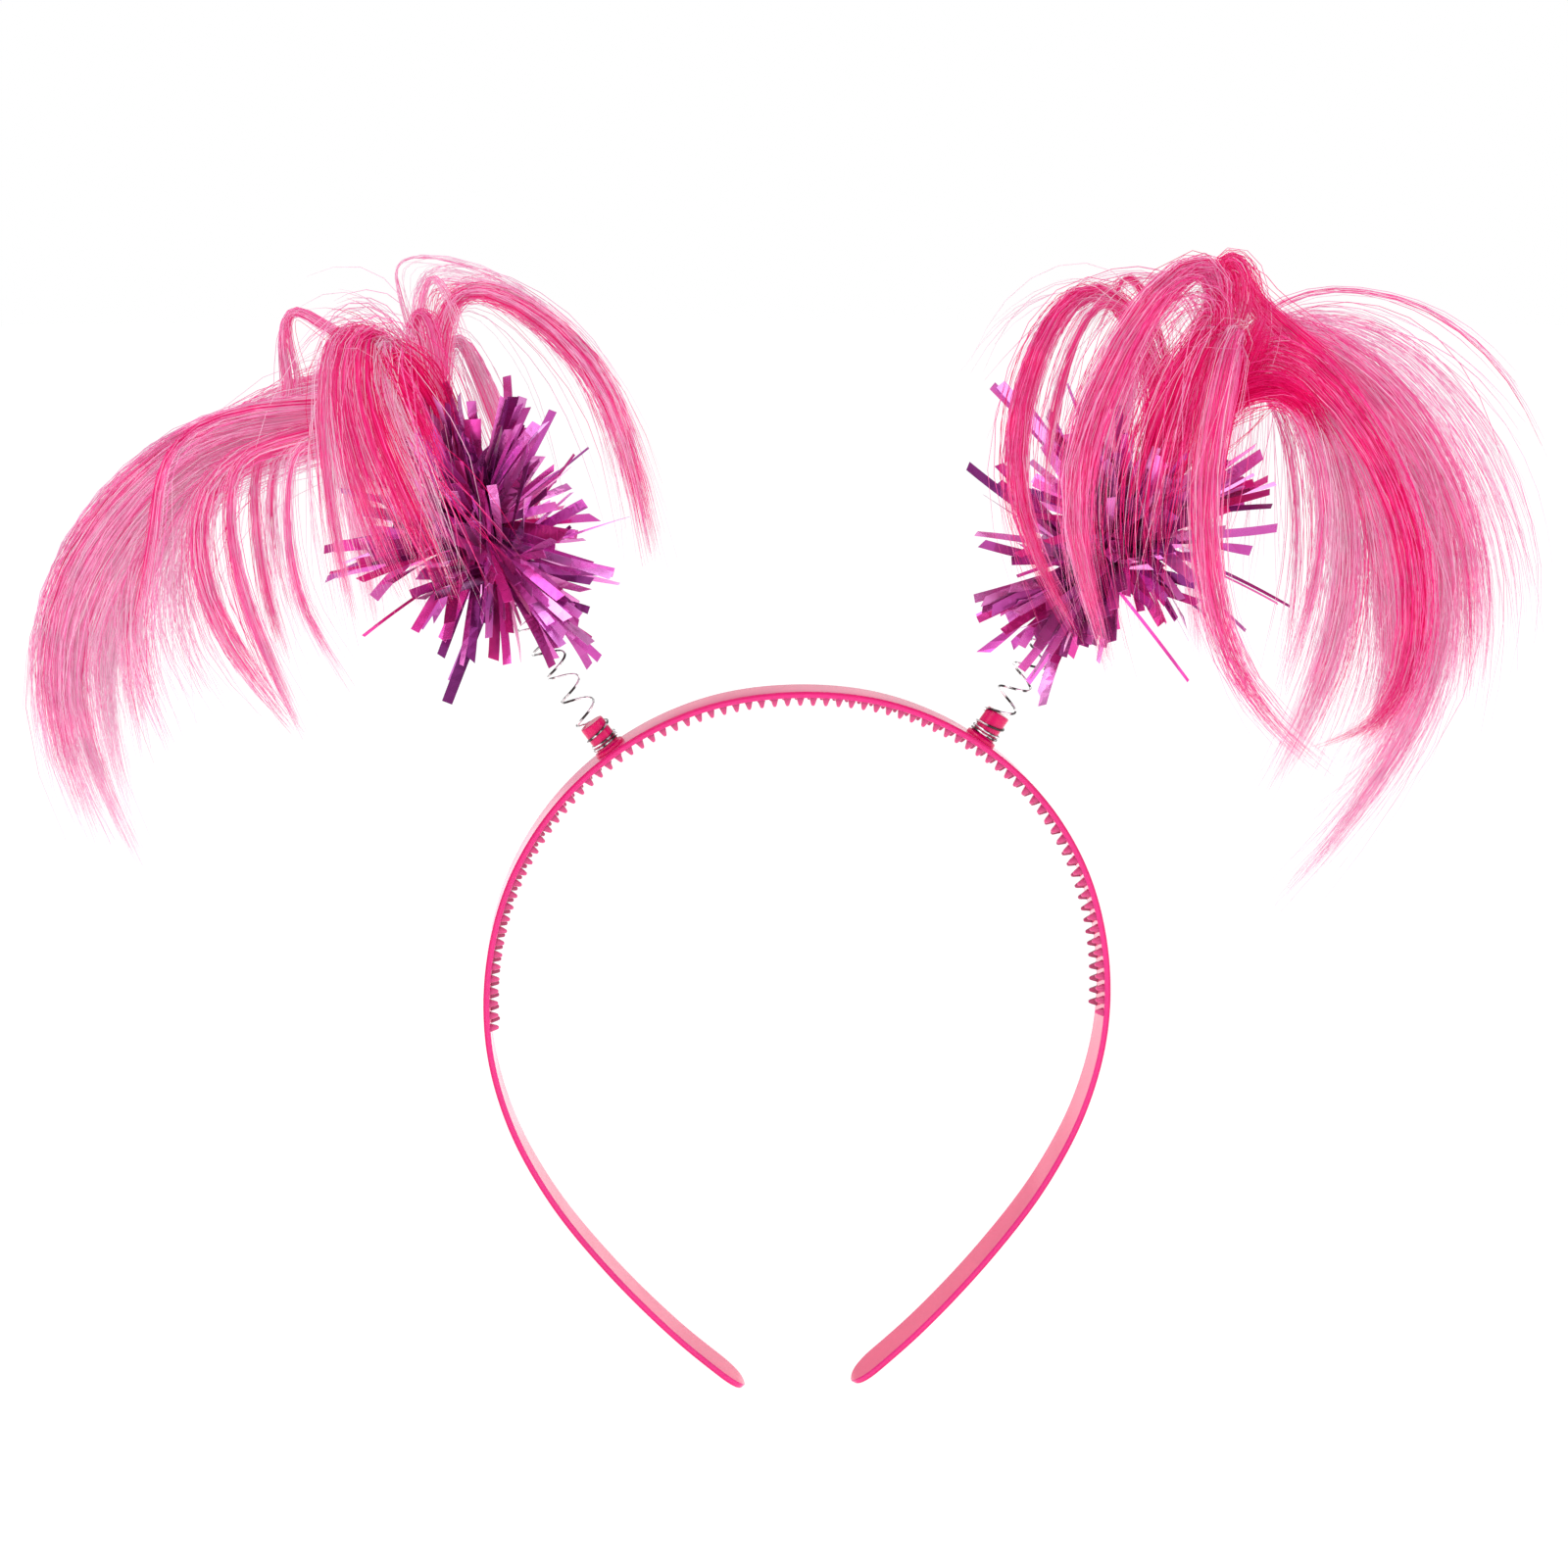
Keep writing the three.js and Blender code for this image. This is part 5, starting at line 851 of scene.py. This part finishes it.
            # One cell of the UV grid for each strip.
            gx, gy = index % grid, index // grid
            cu = (gx + 0.1 + 0.8 * np.array([0, 0.45, 0.5, 0.95])) / grid
            cell = []
            for a in range(seg):
                v0 = (gy + 0.1 + 0.8 * a / seg) / grid
                v1 = (gy + 0.1 + 0.8 * (a + 1) / seg) / grid
                for j in range(4):
                    u0 = (gx + 0.1 + 0.8 * j / 4) / grid
                    u1 = (gx + 0.1 + 0.8 * (j + 1) / 4) / grid
                    cell += [(u0, v0), (u1, v0), (u1, v1), (u0, v1)]
            uvs.append(np.array(cell))
            vs.append(v)
            base += len(v)
            index += 1
    q = np.concatenate(quads)
    c = np.concatenate(caps)
    obj = mesh_object("tinsel_strips_" + name, np.concatenate(vs), [q, c], smooth_shade=False)
    tint(obj, np.concatenate(cols))
    uv = np.concatenate(uvs)
    cap_uv = np.zeros((len(c) * 4, 2))
    for k in range(len(c)):
        cap_uv[k * 4:k * 4 + 4] = uv[(k // 2) * seg * 16:(k // 2) * seg * 16 + 1]
        cap_uv[k * 4:k * 4 + 4] += np.array([[0, 0], [1, 0], [1, 1], [0, 1]]) * 0.02 / grid
    layer = obj.data.uv_layers.new(name="OFBake")
    layer.data.foreach_set("uv", np.concatenate([uv, cap_uv]).astype(np.float32).ravel())
    obj.data.materials.append(FOIL)
    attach(obj, "bopper_" + name)
    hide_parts("tinsel_" + name)
    return obj


build_foil("left", 301)
build_foil("right", 302)


# ---------------------------------------------------------------------- fibre

# The fibre's colour ramp, deep to pale: partly the fibre's own spread of tone, partly painted light, with deep tones
# painted where locks lie in shade and pale ones for lit, sheened fibre.
TONES = np.array([0.0, 0.2, 0.4, 0.6, 0.8, 1.0])
TONE_AND_SHADE_RGB = np.array([
    srgb(215, 2, 92), srgb(227, 36, 121), srgb(231, 104, 165),
    srgb(228, 167, 198), srgb(229, 194, 209), srgb(233, 211, 222),
])


def tone_colour(t):
    t = np.clip(t, 0, 1)
    return np.stack([np.interp(t, TONES, TONE_AND_SHADE_RGB[:, k]) for k in range(3)], -1)


STATIONS = 140


def lock_guide(stations):
    """A lock's middle line, frame and half width at even lengths, and where to sample it more closely."""
    row = [np.array(st, float) for st in stations]
    reach = np.linalg.norm(row[-1][:3] - row[-2][:3])
    whole = sum(np.linalg.norm(b[:3] - a[:3]) for a, b in zip(row[:-1], row[1:]))
    if whole > 40.0:
        # The strands end at different lengths, so the longest go a little past the last station.
        last = row[-1] + (row[-1] - row[-2]) * (0.055 * whole / reach)
        last[3] = row[-1][3] * 0.8
        row.append(last)
    line = Line(catmull(row, 20))
    s = np.linspace(0, line.length, STATIONS)
    g = line.at(s)
    T = line.along(s)
    S = unit(np.cross(T, VIEW_AXIS))
    for i in range(1, STATIONS):
        if np.dot(S[i], S[i - 1]) < 0:
            S[i] = -S[i]
    for _ in range(6):
        S[1:-1] = (S[:-2] + 2 * S[1:-1] + S[2:]) / 4
    S = unit(S - T * np.sum(S * T, 1)[:, None])
    D = np.cross(T, S)
    half = np.maximum(g[:, 3], 0.3)
    kappa = np.linalg.norm(np.gradient(T, s, axis=0), axis=1)
    weight = 1.0 + 14.0 * np.minimum(kappa, 0.35)
    cum = np.concatenate([[0], np.cumsum((weight[1:] + weight[:-1]) / 2 * np.diff(s))])
    turn = float(np.sum((kappa[1:] + kappa[:-1]) / 2 * np.diff(s)))
    return dict(p=g[:, :3], S=S, D=D, half=half, cum=cum / cum[-1], length=line.length, turn=turn)


def read_guide(guide, c):
    idx = np.interp(c.ravel(), guide["cum"], np.arange(STATIONS)).reshape(c.shape)
    i0 = np.clip(idx.astype(int), 0, STATIONS - 2)
    f = (idx - i0)[..., None]
    out = [guide[k][i0] * (1 - f) + guide[k][i0 + 1] * f for k in ("p", "S", "D")]
    out.append(guide["half"][i0] * (1 - f[..., 0]) + guide["half"][i0 + 1] * f[..., 0])
    return out


def waver(rng, count, t, frequency, amount):
    rate = frequency * rng.uniform(0.7, 1.4, count)[:, None]
    return amount * np.sin(2 * math.pi * (rate * t + rng.uniform(0, 1, count)[:, None]))


def lock_strands(rng, guides, count, tone, fray, clump, deep, loose=0.0, fine=1.0):
    """Centre lines, radii and tones for the strands of one lock, or of the web between two."""
    web = len(guides) == 2
    length = guides[0]["length"]
    few = count <= 60
    seg = int(np.clip(round(length / 16.0 + guides[0]["turn"] * 1.4) + (3 if few else 2), 7, 17 if few else 13))
    # Two levels of clumps: a few points that the lock ends in, and small groups.
    big = max(3, int(count / 32) + 1)
    small = max(3, int(count / 9))
    ba = rng.uniform(0, 2 * math.pi, big)
    br = np.sqrt(rng.uniform(0, 1, big)) * 0.85
    bx, by = br * np.cos(ba), br * np.sin(ba)
    sx, sy = rng.normal(0, 0.42, small), rng.normal(0, 0.42, small)
    s_big = np.argmin((sx[:, None] - bx) ** 2 + (sy[:, None] - by) ** 2, axis=1)
    own = rng.integers(0, small, count)
    halo = rng.random(count) < 0.10 + 0.25 * fray + loose
    spread = np.where(halo, 0.75, 0.2)
    ax = sx[own] + rng.normal(0, 1, count) * spread
    ay = sy[own] + rng.normal(0, 1, count) * spread
    held = np.where(halo, 0.25, 1.0) * rng.uniform(0.55, 1.0, count)

    t0 = rng.uniform(0, 0.06, count)
    t1 = 1.0 - np.abs(rng.normal(0, 0.06, count)) - fray * 0.42 * rng.uniform(0, 1, count) ** 1.5
    t1 = np.clip(t1, 0.35, 1.0)
    k = np.linspace(0, 1, seg + 1)[None, :]
    t = t0[:, None] + (t1 - t0)[:, None] * k
    P, Sv, Dv, H = read_guide(guides[0], t)
    if web:
        P2, S2, D2, H2 = read_guide(guides[1], t)
        w = rng.uniform(0.0, 1.0, count)[:, None]
        w = np.clip(w + 0.25 * (t - 0.5) * rng.normal(0, 1, count)[:, None], -0.1, 1.1)
        P = P * (1 - w[..., None]) + P2 * w[..., None]
        flip = np.where(np.sum(Sv * S2, -1) < 0, -1.0, 1.0)[..., None]
        Sv = unit(Sv * (1 - w[..., None]) + S2 * flip * w[..., None])
        Dv = unit(Dv * (1 - w[..., None]) + D2 * flip * w[..., None])
        H = H * (1 - w) + H2 * w
    pull = clump * smooth(t, 0.05, 0.9) * held[:, None]
    near = 0.62 * smooth(t, 0.35, 1.0)
    drift_x = 0.25 * np.sin(2 * math.pi * (rng.uniform(0.5, 1.2, small)[own][:, None] * t + rng.uniform(0, 1, small)[own][:, None]))
    drift_y = 0.25 * np.sin(2 * math.pi * (rng.uniform(0.5, 1.2, small)[own][:, None] * t + rng.uniform(0, 1, small)[own][:, None]))
    mx = sx[own][:, None] * (1 - near) + (bx[s_big] + 0.35 * (sx - bx[s_big]))[own][:, None] * near + drift_x
    my = sy[own][:, None] * (1 - near) + (by[s_big] + 0.35 * (sy - by[s_big]))[own][:, None] * near + drift_y
    A = ax[:, None] * (1 - pull) + (mx + 0.3 * (ax - sx[own])[:, None]) * pull
    B = ay[:, None] * (1 - pull) + (my + 0.3 * (ay - sy[own])[:, None]) * pull
    size = 0.5 + fray
    sway = 0.2 + 0.3 * fray ** 2
    ripple = np.where(halo, 0.12, 0.08)[:, None] * size
    A = A + waver(rng, count, t, 0.8, sway * size) + waver(rng, count, t, 1.5, ripple)
    B = B + waver(rng, count, t, 0.8, sway * size) + waver(rng, count, t, 1.5, ripple)
    # Loose strands run across the others.
    cross = rng.normal(0, 1, count) * (np.where(halo, 0.4, 0.1) + 0.4 * fray ** 3)
    A = A + cross[:, None] * (t - 0.4)
    root = smooth(t, 0.0, 0.2)
    A, B = A * (0.6 + 0.4 * root), B * (0.6 + 0.4 * root)
    # Strays leave the lock on their own curve.
    stray = rng.random(count) < 0.05 + 0.12 * fray + loose * 0.6
    leave = rng.uniform(0.1, 0.7, count)
    go = np.where(stray, rng.gamma(2.0, 1.5, count), rng.gamma(1.2, 0.28 + 0.5 * fray, count))[:, None] \
        * np.maximum(t - leave[:, None], 0) ** 1.6 * 3.0
    go = np.minimum(go, 6.0)
    way = rng.uniform(0, 2 * math.pi, count)
    off_a = go * np.cos(way)[:, None]
    off_b = go * np.sin(way)[:, None] * 0.8
    off_z = -0.35 * np.abs(go)
    pos = P + Sv * (A * H + off_a)[..., None] + Dv * (B * H * deep + off_b)[..., None]
    pos[..., 2] += off_z
    for _ in range(2):
        pos[:, 1:-1] = (pos[:, :-2] + 4 * pos[:, 1:-1] + pos[:, 2:]) / 6
    # The fibre keeps to the reach of the bunch.
    for axis, low, high in ((0, -156.0, 166.0), (1, -38.0, 38.0), (2, -156.0, 98.0)):
        v = pos[..., axis]
        pos[..., axis] = np.where(v < low, low + (v - low) * 0.25, np.where(v > high, high + (v - high) * 0.25, v))

    width = rng.uniform(0.06, 0.115, count) * (1.0 - 0.15 * tone) * fine
    width = np.where(stray | halo, width * 0.85, width)
    rad = width[:, None] * np.maximum(1.0 - 0.8 * smooth(k, 0.8, 1.0), 0.2)
    # Painted shade and sheen in the tone: the lock's tone with a random spread for groups and strands, painted shade
    # darkening the roots, and a little paler towards the tips.
    shade = tone + rng.normal(0, 0.075, small)[own] + rng.normal(0, 0.12, count)
    shade = shade[:, None] + 0.05 * (t - 0.5) - 0.22 * (1 - smooth(t, 0.0, 0.25))
    shade = np.minimum(np.where((stray | halo)[:, None], shade + 0.02, shade), 0.92)
    return pos, Sv, Dv, rad, shade


def build_fibre(label, name, rows, seed, scale):
    rng = np.random.default_rng(seed)
    verts, quads, tris, cols, uvs, tri_uvs = [], [], [], [], [], []
    base = 0
    made = [lock_strands(rng, row[0], max(6, int(row[1] * scale)), *row[2:]) for row in rows]
    total = sum(len(m[0]) for m in made)
    grid = int(math.ceil(math.sqrt(total)))
    index = 0
    for pos, Sv, Dv, rad, shade in made:
        n, m = pos.shape[:2]
        turn = rng.uniform(0, 2 * math.pi, n)[:, None]
        ring = []
        for j in range(3):
            a = turn + j * 2 * math.pi / 3
            ring.append(pos + rad[..., None] * (np.cos(a)[..., None] * Sv + np.sin(a)[..., None] * Dv))
        ring = np.stack(ring, 2)                        # strand, station, side
        verts.append(ring.reshape(-1, 3))
        cols.append(np.repeat(tone_colour(shade).reshape(-1, 3), 3, axis=0))
        s0 = base + np.arange(n)[:, None, None] * (m * 3)
        i = np.arange(m - 1)[None, :, None] * 3
        j = np.arange(3)[None, None, :]
        j2 = (j + 1) % 3
        quads.append(np.stack([s0 + i + j, s0 + i + j2, s0 + i + 3 + j2, s0 + i + 3 + j], -1).reshape(-1, 4))
        first = base + np.arange(n) * (m * 3)
        last = first + (m - 1) * 3
        tris.append(np.stack([first + 2, first + 1, first], -1))
        tris.append(np.stack([last, last + 1, last + 2], -1))
        ids = index + np.arange(n)
        gx = (ids % grid)[:, None, None]
        gy = (ids // grid)[:, None, None]
        u0 = (gx + 0.12 + 0.76 * j / 3) / grid + 0 * i
        u1 = (gx + 0.12 + 0.76 * (j + 1) / 3) / grid + 0 * i
        v0 = (gy + 0.12 + 0.76 * (i / 3) / (m - 1)) / grid + 0 * j
        v1 = (gy + 0.12 + 0.76 * (i / 3 + 1) / (m - 1)) / grid + 0 * j
        uv = np.stack([np.stack([u0, v0], -1), np.stack([u1, v0], -1), np.stack([u1, v1], -1), np.stack([u0, v1], -1)], -2)
        uvs.append(uv.reshape(-1, 2))
        cx = ((ids % grid) + 0.5) / grid
        for cy in (((ids // grid) + 0.06) / grid, ((ids // grid) + 0.94) / grid):
            corner = np.stack([cx, cy], -1)[:, None, :] + np.array([[0, 0], [0.1, 0], [0, 0.04]])[None] / grid
            tri_uvs.append(corner.reshape(-1, 2))
        base += n * m * 3
        index += n
    order_tris = np.concatenate(tris)
    obj = mesh_object(label, np.concatenate(verts), [np.concatenate(quads), order_tris])
    tint(obj, np.concatenate(cols))
    layer = obj.data.uv_layers.new(name="OFBake")
    flat = np.concatenate(uvs + tri_uvs).astype(np.float32)
    layer.data.foreach_set("uv", flat.ravel())
    obj.data.materials.append(FIBRE)
    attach(obj, "bopper_" + name)
    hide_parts("hair_" + name)
    faces = len(obj.data.polygons) * 2 - len(order_tris)
    print("fibre", label, "strands", total, "triangles", faces)
    return obj


def split_rows(rows, parts):
    """Locks shared out over pieces of about equal size."""
    out = [[] for _ in range(parts)]
    load = [0.0] * parts
    for row in sorted(rows, key=lambda r: -r[1]):
        k = load.index(min(load))
        out[k].append(row)
        load[k] += row[1] * (row[0][0]["length"] + 45)
    return out


SCALE = 1.0 * STRAND_SHARE
for name, seed in (("left", 4100), ("right", 5200)):
    guides = {row[0]: lock_guide(row[6]) for row in LOCKS[name]}
    rows = [([guides[r[0]]], r[1], r[2], r[3], r[4], r[5]) for r in LOCKS[name]]
    rows += [([guides[a], guides[b]], n, tone, 0.5, 0.35, 0.8, 0.25, 0.85) for a, b, n, tone in WEBS[name]]
    for i, part in enumerate(split_rows(rows, 3)):
        build_fibre("hair_%s_%d" % (name, i + 1), name, part, seed + i, SCALE)


# ------------------------------------------------------------- stage and light

def build_stage():
    k = 96
    r = 6000.0
    a = np.arange(k) / k * 2 * math.pi
    v = np.stack([np.cos(a) * r, np.sin(a) * r, np.full(k, -151.5)], -1)
    floor = mesh_object("studio_floor", v, np.arange(k)[None, :], smooth_shade=False)
    m, t, s = material("studio_floor_paper")
    co = node(t, "ShaderNodeTexCoord")
    grain = noise_value(t, co.outputs["Object"], 90.0, 3.0, 0.5, 0.97, 1.0)
    white = node(t, "ShaderNodeCombineColor")
    for k in ("Red", "Green", "Blue"):
        t.links.new(grain, white.inputs[k])
    t.links.new(white.outputs["Color"], s.inputs["Base Color"])
    s.inputs["Roughness"].default_value = 0.9
    s.inputs["Emission Color"].default_value = (1, 1, 1, 1)
    s.inputs["Emission Strength"].default_value = 0.6
    # The camera sees the floor as even white paper, hardly brighter than the backdrop behind it.
    paper = node(t, "ShaderNodeBsdfPrincipled")
    paper.inputs["Base Color"].default_value = (0.2, 0.2, 0.2, 1)
    paper.inputs["Roughness"].default_value = 1.0
    paper.inputs["Specular IOR Level"].default_value = 0.0
    paper.inputs["Emission Color"].default_value = (1, 1, 1, 1)
    paper.inputs["Emission Strength"].default_value = 0.88
    seen = node(t, "ShaderNodeLightPath")
    pick = node(t, "ShaderNodeMixShader")
    out = next(n for n in t.nodes if n.type == "OUTPUT_MATERIAL")
    t.links.new(seen.outputs["Is Camera Ray"], pick.inputs["Fac"])
    t.links.new(s.outputs["BSDF"], pick.inputs[1])
    t.links.new(paper.outputs["BSDF"], pick.inputs[2])
    t.links.new(pick.outputs["Shader"], out.inputs["Surface"])
    floor.data.materials.append(m)


build_stage()

WORLD_LIGHT = 0.7
world = bpy.data.worlds.new("studio")
bpy.context.scene.world = world
world.use_nodes = True
wt = world.node_tree
for n in list(wt.nodes):
    wt.nodes.remove(n)
sky_out = wt.nodes.new("ShaderNodeOutputWorld")
backdrop = node(wt, "ShaderNodeBackground", Strength=1.0)
backdrop.inputs["Color"].default_value = (1, 1, 1, 1)
soft = node(wt, "ShaderNodeBackground", Strength=WORLD_LIGHT)
path = node(wt, "ShaderNodeLightPath")
pick = node(wt, "ShaderNodeMixShader")
direction = node(wt, "ShaderNodeTexCoord")
# Softboxes and the dark gaps between them, for the gloss of foil and wire.
boxes = node(wt, "ShaderNodeTexNoise", Scale=2.6, Detail=0.0)
wt.links.new(direction.outputs["Generated"], boxes.inputs["Vector"])
levels = node(wt, "ShaderNodeValToRGB")
levels.color_ramp.elements[0].position = 0.36
levels.color_ramp.elements[0].color = (0.48, 0.48, 0.49, 1)
levels.color_ramp.elements[1].position = 0.52
levels.color_ramp.elements[1].color = (1.3, 1.29, 1.3, 1)
wt.links.new(boxes.outputs["Fac"], levels.inputs["Fac"])
wt.links.new(levels.outputs["Color"], soft.inputs["Color"])
wt.links.new(path.outputs["Is Camera Ray"], pick.inputs["Fac"])
wt.links.new(soft.outputs["Background"], pick.inputs[1])
wt.links.new(backdrop.outputs["Background"], pick.inputs[2])
wt.links.new(pick.outputs["Shader"], sky_out.inputs["Surface"])


def area(name, at, to, size, watts, colour=(1, 1, 1)):
    data = bpy.data.lights.new(name, "AREA")
    data.shape = "RECTANGLE"
    data.size, data.size_y = size
    data.energy = watts
    data.color = colour
    obj = bpy.data.objects.new(name, data)
    bpy.context.scene.collection.objects.link(obj)
    obj.location = at
    obj.rotation_euler = (Vector(to) - Vector(at)).to_track_quat("-Z", "Y").to_euler()
    return obj


area("key", (-0.45, -0.6, 1.0), (0, 0, 0), (0.8, 0.8), 5.0)
area("fill", (0.9, -0.6, 0.3), (0, 0, 0), (0.6, 0.8), 1.5)
area("back", (0.2, 0.9, 0.8), (0, 0, 0.02), (0.9, 0.5), 2.0)

camera_data = bpy.data.cameras.new("camera")
camera_data.sensor_fit = "HORIZONTAL"
camera_data.sensor_width = 36.0
camera_data.lens = 57.84
camera_data.clip_start = 0.01
camera = bpy.data.objects.new("camera", camera_data)
bpy.context.scene.collection.objects.link(camera)
camera.location = CAMERA_AT
camera.rotation_euler = (Vector(CAMERA_TO) - Vector(CAMERA_AT)).to_track_quat("-Z", "Y").to_euler()
bpy.context.scene.camera = camera
bpy.context.scene.view_settings.view_transform = "Standard"
